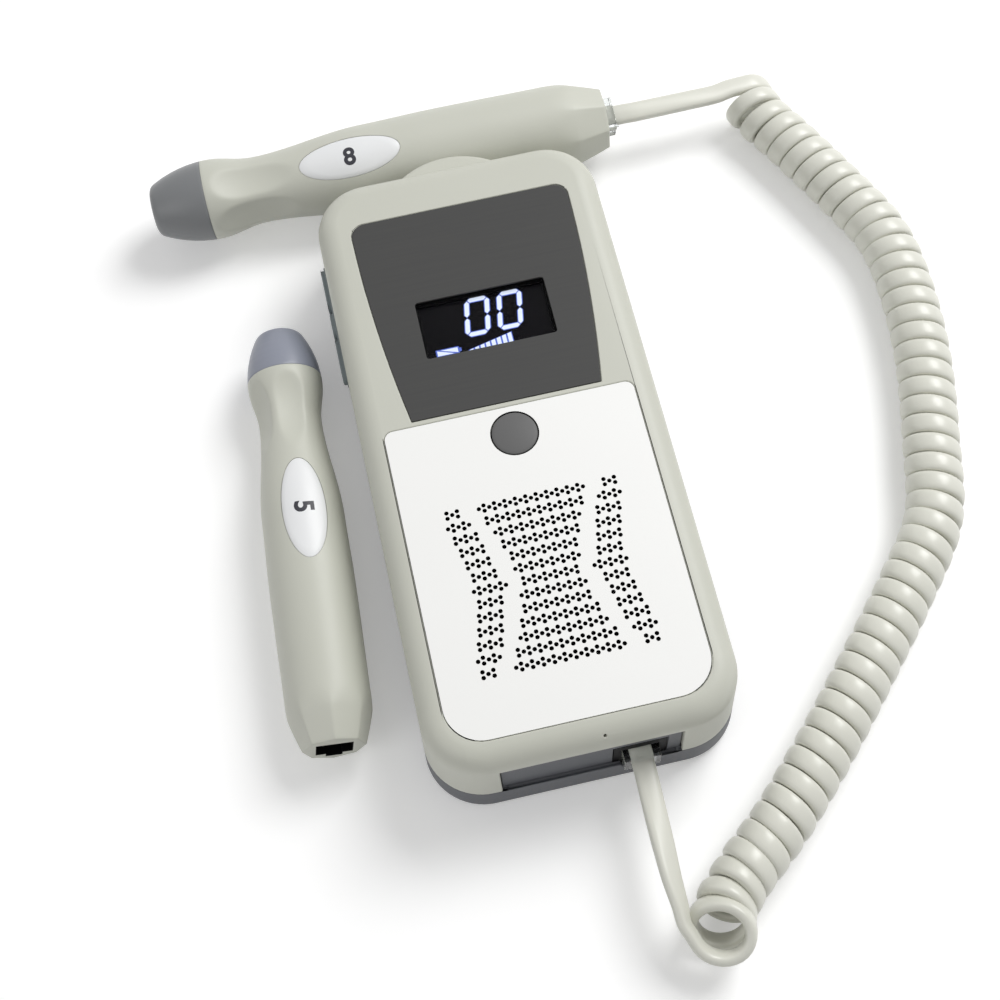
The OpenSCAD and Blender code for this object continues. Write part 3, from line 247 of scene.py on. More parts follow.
@contextmanager
def editing(mesh):
    """The mesh as a bmesh, which is written back at the end."""
    bm = bmesh.new()
    bm.from_mesh(mesh)
    yield bm
    bm.to_mesh(mesh)
    bm.free()


def ring_faces(rings, corners, first=0, closed=False):
    """Faces between neighbouring rings, and where closed also between the last ring and the first."""
    return [(first + a * corners + k, first + a * corners + (k + 1) % corners,
             first + (a + 1) % rings * corners + (k + 1) % corners, first + (a + 1) % rings * corners + k)
            for a in range(rings if closed else rings - 1) for k in range(corners)]


def face_outwards(made, weld=0.0):
    """Merges doubled points and turns the faces outwards."""
    with editing(made.data) as bm:
        if weld:
            bmesh.ops.remove_doubles(bm, verts=bm.verts, dist=weld)
            bmesh.ops.dissolve_degenerate(bm, edges=bm.edges, dist=weld)
        bmesh.ops.recalc_face_normals(bm, faces=bm.faces)
    return made


def add_modifier(made, name, kind, **settings):
    modifier = made.modifiers.new(name, kind)
    for title, value in settings.items():
        setattr(modifier, title, value)
    return modifier


def settle(made, name):
    """The mesh that an object's modifiers make, as an object of its own without them."""
    graph = bpy.context.evaluated_depsgraph_get()
    mesh = bpy.data.meshes.new_from_object(made.evaluated_get(graph), depsgraph=graph)
    bpy.data.objects.remove(made)
    mesh.name = name
    return add(name, mesh)


# %% A recipe
class Recipe(Network):
    """A Geometry Nodes tree with named sizes."""

    def __init__(self, name, sizes, kind="NodeSocketFloat"):
        super().__init__(bpy.data.node_groups.new(name, "GeometryNodeTree"))
        sockets = [("Seed", "NodeSocketGeometry"), ("Finish", "NodeSocketMaterial")]
        sockets[1:1] = [(title, kind) for title in sizes]
        for title, sort in sockets:
            self.tree.interface.new_socket(title, in_out="INPUT", socket_type=sort)
        self.tree.interface.new_socket("Geometry", in_out="OUTPUT", socket_type="NodeSocketGeometry")
        self.given = self.tree.nodes.new("NodeGroupInput")
        self.seed = self.size("Seed")

    def size(self, title):
        return Term(self.tree, self.given.outputs[title])

    def vector(self, x, y, z):
        return self.node("ShaderNodeCombineXYZ", {"X": x, "Y": y, "Z": z})

    def circle(self, corners, radius):
        return self.node("GeometryNodeCurvePrimitiveCircle", {"Resolution": corners, "Radius": radius})

    def sweep(self, curve, corners, radius):
        """A round rod along a curve."""
        return self.node("GeometryNodeCurveToMesh", {
            "Curve": curve, "Profile Curve": self.circle(corners, radius), "Fill Caps": True})

    def shift(self, geometry, *by):
        return self.node("GeometryNodeTransform", {"Geometry": geometry, "Translation": self.vector(*by)})

    def set_on(self, points, shape, **turn):
        """A copy of the shape on every point."""
        return self.node("GeometryNodeInstanceOnPoints", {"Points": points, "Instance": shape, **turn})

    def turned_like_seed(self, shape):
        """A copy on every point of the seed, with the rotation that the point carries as an attribute."""
        turn = self.node("GeometryNodeInputNamedAttribute", {"Name": "turn"}, data_type="FLOAT_VECTOR")
        return self.set_on(self.seed, shape, Rotation=self.node("FunctionNodeEulerToRotation", {"Euler": turn}))

    def end(self, geometry):
        real = self.node("GeometryNodeRealizeInstances", {"Geometry": geometry})
        done = self.node("GeometryNodeSetMaterial", {"Geometry": real, "Material": self.size("Finish")})
        plug(self.tree, self.tree.nodes.new("NodeGroupOutput").inputs[0], done)

    def grow(self, name, seed, finish, sizes):
        """Runs the recipe on a seed object, which it uses up."""
        modifier = add_modifier(seed, "recipe", "NODES", node_group=self.tree)
        values = dict(sizes, Finish=finish.material)
        for socket in self.tree.interface.items_tree:
            if socket.in_out == "INPUT" and socket.name in values:
                modifier[socket.identifier] = values[socket.name]
        return settle(seed, name)


# %% The pieces that a recipe grows
def points_with_turns(name, places, turns):
    """A seed of loose points, each with the way it is turned."""
    seed = add_mesh(name, places)
    layer = seed.data.attributes.new("turn", "FLOAT_VECTOR", "POINT")
    layer.data.foreach_set("vector", np.array(turns, np.float32).ravel())
    return seed


def put(made, place=Matrix.Identity(4)):
    """Brings a mesh from millimetres in its own frame to its place in the model."""
    made.data.transform(Matrix.Scale(MM, 4) @ place)
    return made


def dress(made, finish, body, crease=None, nodes=()):
    """Gives a piece its finish and its body, and hides the solids that it stands for.

    Edges sharper than crease, in degrees, stay sharp.
    """
    made.data.materials.clear()
    made.data.materials.append(finish.material)
    made.data.shade_smooth()
    if crease:
        made.data.set_sharp_from_angle(angle=math.radians(crease))
    if body:
        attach(made, body)
    if nodes:
        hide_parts(*nodes)
    return made


print("recipes can be written")

# %% [markdown]
# ## The cord's vinyl
# The cord is an ivory vinyl with a soft gloss. Extruding leaves faint lines along it, so its noise is stretched along
# the run, which the tube's UV map carries: U is the distance along the cord and V the way round it.

# %% Cord vinyl
vinyl = Finish("ivory_vinyl", srgb(222, 221, 211), 0.3)
along = vinyl.node("ShaderNodeUVMap", out="UV", uv_map="run")
lines = vinyl.noise(1.0, 1, along, (60, 24, 1))
cloud = vinyl.noise(14 * MM, 2)
vinyl.set({
    "Base Color": vinyl.mix(cloud, srgb(218, 218, 207), srgb(225, 225, 215)),
    "Roughness": 0.26 + 0.1 * lines,
})
vinyl.emboss(lines, 0.012 * MM)
print("vinyl mixed")

# %% [markdown]
# ## The curly cord
# A curly cord is wound on a rod and baked, so it keeps its curls. Here one flat tube follows a helix whose axis is a
# smooth curve through listed points on the floor. A mesh tube suits it better than a bevelled curve, because the
# flat side has to face the axis at every point. The route repeats the construction model's own points and rules.

# %% Routes and tubes
CORD_WIDTH = 4.8
CORD_THICKNESS = 2.5
SECTION_SIDES, SECTION_SQUARENESS = 20, 3.0


def smooth_route(points, steps):
    """A Catmull-Rom curve through the points, steps to a stretch."""
    p = np.array(points, float)
    p = np.vstack([2 * p[0] - p[1], p, 2 * p[-1] - p[-2]])
    u = np.arange(steps)[:, None] / steps
    stretches = [
        0.5 * (2 * b + (c - a) * u + (2 * a - 5 * b + 4 * c - d) * u**2 + (3 * b - a - 3 * c + d) * u**3)
        for a, b, c, d in zip(p, p[1:], p[2:], p[3:])
    ]
    return np.vstack(stretches + [p[-2:-1]])


def unit(v):
    return v / np.linalg.norm(v, axis=-1, keepdims=True)


def run_length(points):
    return np.concatenate([[0], np.cumsum(np.linalg.norm(np.diff(points, axis=0), axis=1))])


def lay_tube(name, centre, ups, ways, widths):
    """One unbroken tube of a rounded flat section, with its run in the UV map."""
    steps = unit(np.diff(centre, axis=0))
    way = np.vstack([ways[0], unit(steps[1:] + steps[:-1]), ways[1]])
    side = unit(np.cross(way, ups))
    rise = np.cross(side, way)
    sides = SECTION_SIDES
    turn = 2 * math.pi * np.arange(sides) / sides
    across, up = (np.sign(part) * np.abs(part) ** (2 / SECTION_SQUARENESS) / 2 for part in (np.cos(turn), np.sin(turn)))
    up = up * CORD_THICKNESS
    rings = (
        centre[:, None, :]
        + side[:, None, :] * (across[None, :, None] * np.broadcast_to(widths, len(centre))[:, None, None])
        + rise[:, None, :] * up[None, :, None]
    )
    run, last = run_length(centre) * MM, len(centre) - 1
    faces = ring_faces(last + 1, sides) + [[ring * sides + k for k in range(sides)] for ring in (0, last)]
    uvs = [(run[i + a], (k + b) / sides) for i in range(last) for k in range(sides)
           for a, b in ((0, 0), (0, 1), (1, 1), (1, 0))]
    uvs += [(run[ring], k / sides) for ring in (0, last) for k in range(sides)]
    made = add_mesh(name, rings.reshape(-1, 3) * MM, faces)
    made.data.uv_layers.new(name="run").data.foreach_set("uv", np.array(uvs, np.float32).ravel())
    return face_outwards(made)


# %% The rules of the coiled length
COIL_ROUTE = [
    (78, 86.7), (79.6, 80.4), (84.3, 71.5), (92.5, 54), (98, 40), (99, 25), (97, 6), (92, -15), (86.5, -33),
    (75, -48), (62.5, -62), (50, -75.5), (38, -87.5), (31.4, -93.3), (25.2, -98.3), (20.2, -103.3),
    (17.8, -106.7), (16.9, -109.6),
]
COIL_RADIUS, COIL_HEIGHT = 5.15, 6.7
FIRST_SWELL, LAST_SWELL = 0.55, 0.75
END_LIFT, SIDE_DIP = 3.48, 0.64
ALL_TURNS, LOOP_TURNS = 48.625, 0.875
SPREAD, SPREAD_TURNS, SPREAD_POWER = 1.88, 2.16, 2.69
TIP, TIP_TURNS, TIP_POWER = math.radians(54), 5, 1.58
axis_points = smooth_route([(x, y, 0) for x, y in COIL_ROUTE], 6)
axis_run = run_length(axis_points)
AXIS_LENGTH = axis_run[-1]
COIL_END = AXIS_LENGTH - 0.67
EVEN_STEP = (COIL_END - SPREAD) / (ALL_TURNS - LOOP_TURNS)


def share(u):
    return np.clip(u, 0, 1)


def ease(u):
    return (1 - np.cos(np.pi * share(u))) / 2


def run_at(n):
    """How far along the axis the cord is after n turns. The last two curls before the unit stand a little apart."""
    left = ALL_TURNS - n
    past = np.maximum(left - LOOP_TURNS + 0.5, 0)
    even = EVEN_STEP * np.where(past > 1, past - 0.5, past**2 / 2)
    near_end = share(1 - np.maximum(left - 0.3, 0) / SPREAD_TURNS) ** SPREAD_POWER
    return np.maximum(COIL_END - even - SPREAD * (1 - near_end), 0)


def swell_at(n):
    """How much wider the first curl and the last two and a half are."""
    return FIRST_SWELL * ease(1 - np.abs(n - 0.75) / 0.75) + LAST_SWELL * ease(1 - (ALL_TURNS - n) / 2.5)


def lift_at(n):
    """The free end of the last curl is lifted over its own side."""
    left = ALL_TURNS - n
    return END_LIFT * ease(1 - left / 0.9) - SIDE_DIP * ease(1 - np.abs(left - 0.8) / 0.45)


def axis_at(s):
    return np.stack([np.interp(s, axis_run, axis_points[:, k]) for k in range(3)], axis=-1)


def axis_way(s, reach=5):
    """The way of the axis, evened out over a reach of 5 mm either side."""
    return unit(axis_at(np.minimum(s + reach, AXIS_LENGTH)) - axis_at(np.maximum(s - reach, 0)))


def outward(n):
    """From the axis to the cord. The last curls tip up more and more."""
    t = axis_way(run_at(n))
    tip = TIP * share(1 - np.maximum(ALL_TURNS - n - 0.4, 0) / TIP_TURNS)[..., None] ** TIP_POWER
    angle = (2 * np.pi * n)[..., None]
    side = np.stack([-t[..., 1], t[..., 0], 0 * t[..., 0]], axis=-1)
    return side * np.sin(angle) + (np.array((0, 0, 1)) * np.cos(tip) - t * np.sin(tip)) * np.cos(angle)


def curl_point(n):
    height = np.stack([0 * n, 0 * n, COIL_HEIGHT + swell_at(n) + lift_at(n)], axis=-1)
    return axis_at(run_at(n)) + height + (COIL_RADIUS + swell_at(n))[..., None] * outward(n)


# %% The coiled length
POINTS_PER_CURL = 32
SOFT_WIDTH, NARROW_WIDTH = 4.45, 4.0
turns = np.arange(int(ALL_TURNS * POINTS_PER_CURL) + 1) / POINTS_PER_CURL
curl_points, curl_ups = curl_point(turns), outward(turns)
first_way = axis_way(np.array(0.0))
start_way = unit(np.array((-first_way[1], first_way[0], 0)) + first_way * EVEN_STEP / (2 * math.pi * COIL_RADIUS))
last_turns = np.array([ALL_TURNS - 0.01, ALL_TURNS])
finish_way = unit(unit(np.diff(curl_point(last_turns), axis=0)[0]) + np.array((-0.05, 0.485, 0.1)))
coil_start = curl_points[0] - CORD_THICKNESS * start_way
coil_finish = curl_points[-1] + CORD_THICKNESS * finish_way
coil_centre = np.vstack([coil_start, curl_points, coil_finish])
coil_ups = np.vstack([curl_ups[0], curl_ups, curl_ups[-1]])
from_ends = np.minimum(run_length(coil_centre), run_length(coil_centre)[::-1].max() - run_length(coil_centre))
tight = np.concatenate([[0], ease(1 - np.abs(turns - 1) / 1.2) + ease(1 - np.abs(turns - 46.6) / 1.4), [0]])
coil_widths = (SOFT_WIDTH - (SOFT_WIDTH - NARROW_WIDTH) * tight
               + (CORD_WIDTH - SOFT_WIDTH) * ease(1 - from_ends / 9))
coil = lay_tube("curly_cord", coil_centre, coil_ups, (start_way, finish_way), coil_widths)
dress(coil, vinyl, "unit", 60, ["coil_cord"])
print("coiled cord:", round(run_length(coil_centre)[-1]), "mm in 48 curls")

# %% [markdown]
# ## The two straight leads
# From each plug the same flat cord runs straight to the coil. The probe's lead lifts out sideways with the probe, and
# the unit's lead bridges from its socket down to the last curl. Each lead is a piece of its own.

# %% The leads
PROBE_LEAD = [(49, 85.1, 12.2), (55, 85.2, 12.1), (62, 85.35, 12), (69, 85.6, 11.8)]
UNIT_LEAD = [(10.05, -83, 12.4), (9.95, -90.3, 12.3), (9.9, -96.8, 12), (10.2, -102.4, 11.2)]
LEAD_STRAIGHT = 2.5
PROBE_END, PROBE_WAY = np.array((43.5, 85.2, 12.2)), np.array((1.0, 0, 0))
UNIT_END, UNIT_WAY = np.array((10.2, -73.1, 12.5)), np.array((0, -1.0, 0))
HOLDER_ROLL = math.radians(16)
ROLL_UP = np.array((0, -math.sin(HOLDER_ROLL), math.cos(HOLDER_ROLL)))
FLAT_UP = np.array((0, 0, 1))


def lead(name, node, start, leaving, middle, finish, arriving, ups):
    """A lead between a plug and the coil, its flat side turning from the first up to the second."""
    route = [start, start + LEAD_STRAIGHT * leaving, *[np.array(p) for p in middle],
             finish - LEAD_STRAIGHT * arriving, finish]
    centre = smooth_route(route, 6)
    turning = ease(np.linspace(0, 1, len(centre)))[:, None]
    made = lay_tube(name, centre, ups[0] * (1 - turning) + ups[1] * turning, (leaving, arriving), CORD_WIDTH)
    dress(made, vinyl, None, 60, [node])
    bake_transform(made)
    return made, centre


probe_lead, probe_centre = lead("probe_lead_cord", "lead_probe", PROBE_END, PROBE_WAY, PROBE_LEAD,
                                coil_start, start_way, (ROLL_UP, FLAT_UP))
unit_lead, unit_centre = lead("unit_lead_cord", "lead_unit", UNIT_END, UNIT_WAY, UNIT_LEAD,
                              coil_finish, -finish_way, (FLAT_UP, -curl_ups[-1]))
print("leads:", round(run_length(probe_centre)[-1], 1), round(run_length(unit_centre)[-1], 1), "mm")

# %% [markdown]
# ## The modular plugs
# Each lead ends in a clear four-way plug. One sees through it: the flat cord's end is clamped inside, and four wires
# go on to the gilt blades. The plug's own form comes from the construction model, with its moulded edges rounded; the
# wires repeat, so a recipe bends one along a seed line and sets four side by side.

# %% Places of the plugs and probes
def moved(x, y, z):
    return Matrix.Translation((x, y, z))


def rolled(degrees, axis):
    return Matrix.Rotation(math.radians(degrees), 4, axis)


PROBE_LENGTH, SPARE_SIZE = 111.3, 0.9
AT_UNIT_SOCKET = moved(10.2, -70.6, 12.5) @ rolled(90, "X") @ rolled(90, "Z")
AT_PROBE = moved(-70.3, 85.2, 12.2) @ rolled(16, "X") @ rolled(90, "Y") @ rolled(180, "Z")
AT_SPARE = (moved(-46.8, 45.2, 9.405) @ rolled(-92.6, "Z") @ rolled(-9, "X") @ rolled(90, "Y")
            @ rolled(180, "Z"))
AT_PROBE_TAIL = AT_PROBE @ moved(0, 0, PROBE_LENGTH)
AT_SPARE_TAIL = AT_SPARE @ moved(0, 0, PROBE_LENGTH * SPARE_SIZE)

# %% A row of bent wires
WIRE_CORNERS, WIRE_PITCH = 10, 1.02
comb = Recipe("row_of_bent_wires", ("Wire radius", "Bend radius", "Pitch", "Count"))
s = comb.size
bent = comb.node("GeometryNodeFilletCurve", {
    "Curve": comb.node("GeometryNodeMeshToCurve", {"Mesh": comb.seed}),
    "Count": 4, "Radius": s("Bend radius"), "Limit Radius": True}, mode="POLY")
first_place = comb.vector(0, (s("Count") - 1) * s("Pitch") * -0.5, 0)
row_places = comb.node("GeometryNodeMeshLine", {
    "Count": s("Count"), "Start Location": first_place, "Offset": comb.vector(0, s("Pitch"), 0)})
comb.end(comb.set_on(row_places, comb.sweep(bent, WIRE_CORNERS, s("Wire radius"))))


def wire_row(name, path, place, finish, body, radius, nodes=()):
    """Four wires side by side along a path of (x, z) points."""
    seed = add_mesh(name + "_seed", [(x, 0, z) for x, z in path], edges=[(i, i + 1) for i in range(len(path) - 1)])
    sizes = {"Wire radius": radius, "Bend radius": 0.5, "Pitch": WIRE_PITCH, "Count": 4.0}
    made = put(face_outwards(comb.grow(name, seed, finish, sizes)), place)
    return dress(made, finish, body, 50, nodes)


print("one recipe bends every row of wires")

# %% [markdown]
# ## Plastics, rubber, metal and paper
# The case and the probes are moulded in a warm pale grey with a fine spark-eroded skin, the rear shell in slate grey.
# Two noises do it: a broad one that moves the colour by a hair, as in any large moulding, and a fine one for the tooth.
# Rubber, paper and metal are mixed the same way, with other numbers.

# %% Finishes
putty = moulded("putty_moulding", srgb(202, 203, 192), 0.46)
slate = moulded("slate_moulding", srgb(97, 99, 104), 0.5, gloss=0.3)
black = moulded("black_moulding", srgb(11, 11, 12), 0.5, gloss=0.08)
cap_grey = moulded("neutral_grey_cap", srgb(124, 126, 128), 0.36, tooth=0.6, depth=0.003)
cap_blue = moulded("blue_grey_cap", srgb(143, 147, 160), 0.36, tooth=0.6, depth=0.003)
rubber = moulded("grey_button_rubber", srgb(104, 104, 104), 0.5, tooth=0.5, depth=0.004, gloss=0.25)
key_rubber = moulded("blue_grey_rubber", srgb(128, 137, 140), 0.5, tooth=0.5, depth=0.004)
plate_white = moulded("white_plate", srgb(251, 251, 249), 0.34, tooth=0.7, depth=0.002, drift=0.006)
label_paper = moulded("label_paper", srgb(238, 239, 240), 0.4, tooth=0.6, depth=0.002, drift=0.008)
label_ink = moulded("label_ink", srgb(44, 44, 52), 0.45, tooth=0.4, depth=0.002)
cloth = moulded("speaker_cloth", srgb(10, 10, 12), 0.85, tooth=0.3, depth=0.03, gloss=0.1)
paper = moulded("cone_paper", srgb(34, 33, 32), 0.75, depth=0.02)
laminate = moulded("board_laminate", srgb(28, 96, 56), 0.35, depth=0.004)
jacket = moulded("cell_jacket", srgb(60, 92, 130), 0.3, depth=0.002)
copper_wire = moulded("lead_wire", srgb(176, 60, 50), 0.4, depth=0.002)
steel = moulded("pressed_steel", srgb(178, 178, 180), 0.32, depth=0.003)
gold = moulded("contact_gold", srgb(214, 180, 104), 0.28, depth=0.002)
for metal in (steel, gold):
    metal.set({"Metallic": 1.0})
print("mixed", len(bpy.data.materials), "finishes")

# %% [markdown]
# ## Pieces that keep their construction shape
# Most solids have the right shape already, but a solid has knife-sharp edges and no moulded edge is knife-sharp. A
# welded copy of the solid gets a narrow rounded edge by a Bevel modifier, and its flat faces keep their own normals.
# Long thin triangles on a big flat face would shade in streaks, so two of the pieces have theirs joined first.


# %% Recasting a solid
SHARP_ANGLE = 38
SEAMS = {
    "front_shell": [(0, x) for x in (-24.75, 0, 2.9, 24.75)] + [(1, 42)],
    "key_bezel": [(2, 14), (1, 32.5), (1, 51.5)],
}


def join_flats(bm, planes):
    """Joins coplanar triangles. Cuts through the middle of each hole keep a face from closing round it."""
    for axis, at in planes:
        normal = [float(k == axis) for k in range(3)]
        point = [at * MM * n for n in normal]
        cut = bmesh.ops.bisect_plane(bm, geom=bm.verts[:] + bm.edges[:] + bm.faces[:], dist=0.001 * MM,
                                     plane_co=point, plane_no=normal)["geom_cut"]
        for edge in cut:
            if isinstance(edge, bmesh.types.BMEdge):
                edge.seam = True
    bmesh.ops.dissolve_limit(bm, angle_limit=math.radians(0.2), verts=bm.verts, edges=bm.edges, delimit={"SEAM"})


def recast(node, finish, edge):
    """A welded copy of a solid, whose sharp edges are rounded by edge millimetres."""
    source = frame["nodes"][node]
    made = add(node + "_dressed", source.data.copy())
    with editing(made.data) as bm:
        bmesh.ops.remove_doubles(bm, verts=bm.verts, dist=0.002 * MM)
        if node in SEAMS:
            join_flats(bm, SEAMS[node])
    if edge:
        add_modifier(made, "edge", "BEVEL", width=edge * MM, segments=2, limit_method="ANGLE",
                     angle_limit=math.radians(SHARP_ANGLE), harden_normals=True, use_clamp_overlap=False)
    add_modifier(made, "flat_faces", "WEIGHTED_NORMAL", keep_sharp=True)
    return dress(made, finish, source["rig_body"], nodes=[node])


def keep(node, finish):
    """A solid that stays as it is, with a procedural finish."""
    solid = frame["nodes"][node]
    solid.data.materials.clear()
    solid.data.materials.append(finish.material)
    return solid


# %% Shells, sockets and inner parts
for finish, slot, edge, nodes in (
    (putty, "putty_plastic", 0.25, "front_shell"),
    (slate, "slate_plastic", 0.2, "rear_shell"),
    (slate, "slate_plastic", 0.15, "battery_door"),
    (cap_grey, "cap_grey", 0.1, "probe_cap"),
    (cap_blue, "cap_blue", 0.1, "spare_cap"),
    (black, "black_plastic", 0.1, "socket_housing probe_socket spare_socket"),
    (rubber, "button_rubber", 0.15, "power_button"),
    (key_rubber, "key_rubber", 0.2, "key_bezel"),
    (key_rubber, "key_rubber", 0.3, "volume_up_key volume_down_key"),
    (cloth, "speaker_cloth", 0, "speaker_cloth"),
    (steel, "pressed_steel", 0.1, "speaker_frame"),
    (paper, "cone_paper", 0, "speaker_cone"),
    (black, "black_plastic", 0.1, "power_switch power_switch_plunger volume_up_switch volume_down_switch"
                                  " volume_up_plunger volume_down_plunger"),
    (laminate, "board_laminate", 0.05, "circuit_board"),
    (steel, "pressed_steel", 0.05, "battery_plates"),
):
    for node in nodes.split():
        recast(node, finish, edge)
print("solids recast")

# %% The plugs, with what is seen through them
clear = Finish("clear_plug", srgb(238, 241, 241), 0.08)
clear.set({"Transmission Weight": 1.0, "IOR": 1.49, "Roughness": 0.05 + 0.06 * clear.noise(2 * MM, 2)})
CORD_IN_PLUG = 6.5
WIRE_PATH = [(0, -3.6), (0, -4.6), (1.3, -6), (1.45, -8.7)]


def plug_inside(side, body, end, leaving, up, place):
    """The cord's clamped end and the four wires, on the body of the plug."""
    inner = smooth_route([end, end - CORD_IN_PLUG / 2 * leaving, end - CORD_IN_PLUG * leaving], 3)
    stub = lay_tube(side + "_cord_end", inner, np.tile(up, (len(inner), 1)), (-leaving, -leaving), CORD_WIDTH)
    dress(stub, vinyl, body, crease=60)
    wires = wire_row(side + "_cord_wires", WIRE_PATH, place, copper_wire, body, 0.38)
    clip = recast(side + "_plug", clear, 0.15)
    return [stub, wires, clip, keep(side + "_plug_contacts", gold)]


probe_ends = plug_inside("probe", "held_probe", PROBE_END, PROBE_WAY, ROLL_UP, AT_PROBE_TAIL)
unit_ends = plug_inside("unit", "unit_plug", UNIT_END, UNIT_WAY, FLAT_UP, AT_UNIT_SOCKET)
SPRING_WIRE = [(4.6, -4.3), (4.6, -5), (2.65, -6.5), (2.65, -7.8)]
for node, place, body in (("socket_contacts", AT_UNIT_SOCKET, "unit"),
                          ("probe_socket_contacts", AT_PROBE_TAIL, "held_probe"),
                          ("spare_socket_contacts", AT_SPARE_TAIL, "spare_probe")):
    wire_row(node + "_sprung", SPRING_WIRE, place, gold, body, 0.2, [node])
print("plugs and contacts made")


# %% [markdown]
# ## The perforated plate
# The speaker sits behind a thin white plate with rows of small holes, single or in pairs one above the other. Drawing
# each by hand would be slow and cutting each by a boolean would be slower, so a recipe sets one circle on every point
# of a seed, fills the outline round them and raises the sheet. The seed holds the rule of the rows. The walls of the
# holes are painted dark, because hardly any light comes back out of so narrow a hole over black cloth.

# %% The recipe of the plate
HOLE_CORNERS, BUTTON_CORNERS = 16, 96
sheet = Recipe("perforated_plate", ("Width", "Length", "Thickness", "Top corner", "Bottom corner", "Hole radius",
                                    "Button hole", "Button place"))
s = sheet.size
height = sheet.node("ShaderNodeSeparateXYZ", {"Vector": sheet.node("GeometryNodeInputPosition")}, "Y")
upper = height.math("GREATER_THAN", 0.0)
outline = sheet.node("GeometryNodeFilletCurve", {
    "Curve": sheet.node("GeometryNodeCurvePrimitiveQuadrilateral", {"Width": s("Width"), "Height": s("Length")}),
    "Count": 12, "Radius": upper * s("Top corner") + (1 - upper) * s("Bottom corner")}, mode="POLY")
holes = sheet.node("GeometryNodeRealizeInstances", {
    "Geometry": sheet.set_on(sheet.seed, sheet.circle(HOLE_CORNERS, s("Hole radius")))})
button_hole = sheet.shift(sheet.circle(BUTTON_CORNERS, s("Button hole")), 0, s("Button place"), 0)
flat = sheet.node("GeometryNodeFillCurve", {
    "Curve": sheet.node("GeometryNodeJoinGeometry", {"Geometry": [outline, holes, button_hole]})}, mode="TRIANGLES")
raised = sheet.node("GeometryNodeExtrudeMesh", {
    "Mesh": flat, "Offset": (0, 0, 1), "Offset Scale": s("Thickness"), "Individual": False})
both = sheet.node("GeometryNodeJoinGeometry", {
    "Geometry": [raised, sheet.node("GeometryNodeFlipFaces", {"Mesh": flat})]})
sheet.end(sheet.node("GeometryNodeMergeByDistance", {"Geometry": both, "Distance": 0.004}))

# %% The rows of holes
HOLE_RADIUS, HOLE_COLUMN, HOLE_ROW, HOLE_PAIR = 0.48, 1.12, 2.975, 0.62
MIDDLE_HALVES = [5, 6, 6, 7, 8, 9, 10]
SIDE_HALVES = [3, 2, 2, 2, 2, 2, 1]
SIDE_MIDDLES = [12.7, 13.27, 13.92, 14.52, 15.23, 16.16, 16.9]
PLATE_LOW, PLATE_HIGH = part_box("speaker_plate")
plate_middle = (PLATE_LOW + PLATE_HIGH) / 2 / MM
PATTERN_DROP = 39.9
PATTERN_Y = PLATE_HIGH.y / MM - PATTERN_DROP


def is_pair(row, column, side):
    if side:
        return (column % 2 == 0) == (row <= 4)
    return column % 2 == (0 if row == 2 else 1)


marks = []
for line in range(-6, 7):
    row = abs(line)
    groups = [(0, MIDDLE_HALVES[row], False)]
    groups += [(s * SIDE_MIDDLES[row], SIDE_HALVES[row], True) for s in (-1, 1)]
    for middle, half, side in groups:
        for column in range(-half, half + 1):
            x, y = middle + column * HOLE_COLUMN, PATTERN_Y + line * HOLE_ROW - plate_middle.y
            lifts = (HOLE_PAIR, -HOLE_PAIR) if is_pair(row, abs(column), side) else (0,)
            marks += [(x, y + lift, 0) for lift in lifts]
plate_size = (PLATE_HIGH - PLATE_LOW) / MM
BUTTON_HOLE, BUTTON_Y = 5.25, -1.1
plate = sheet.grow("perforated_plate", add_mesh("hole_places", marks), plate_white, {
    "Width": plate_size.x, "Length": plate_size.y, "Thickness": plate_size.z, "Top corner": 2.0,
    "Bottom corner": 8.0, "Hole radius": HOLE_RADIUS, "Button hole": BUTTON_HOLE,
    "Button place": BUTTON_Y - plate_middle.y})

# %% The plate's finish, dark in the holes
EDGE_STRIP = 0.6
inside = plate_size / 2 - Vector((EDGE_STRIP, EDGE_STRIP, 0))
in_hole = [float(abs(face.normal.z) < 0.5 and abs(face.center.x) < inside.x and abs(face.center.y) < inside.y)
           for face in plate.data.polygons]
plate.data.attributes.new("hole_wall", "FLOAT", "FACE").data.foreach_set("value", in_hole)
bare_white = plate_white.mix(plate_white.noise(22 * MM, 3), srgb(250, 250, 248), srgb(252, 252, 250))
hole_wall = plate_white.node("ShaderNodeAttribute", out="Fac", attribute_name="hole_wall")
plate_white.set({"Base Color": plate_white.mix(hole_wall, bare_white, srgb(26, 26, 28))})
put(face_outwards(plate), moved(0, plate_middle.y, PLATE_LOW.z / MM))
dress(plate, plate_white, "unit", 30, ["speaker_plate"])
print("plate with", len(marks), "holes,", len(plate.data.polygons), "faces")

# %% [markdown]
# ## The probes
# A probe is a turned form: a soft cap, a waist for the fingers, a long belly and a tail with eight soft flats. Finger
# dimples lie round the waist. All of this follows a rule, a radius for each place along the probe and each angle round
# it, so a recipe rolls a flat grid up by that rule. Soft minima of the turned form, the flats and the dimples blend
# them as a mould maker's rounded edges do. The label's seat and the socket's mouth are then cut out.

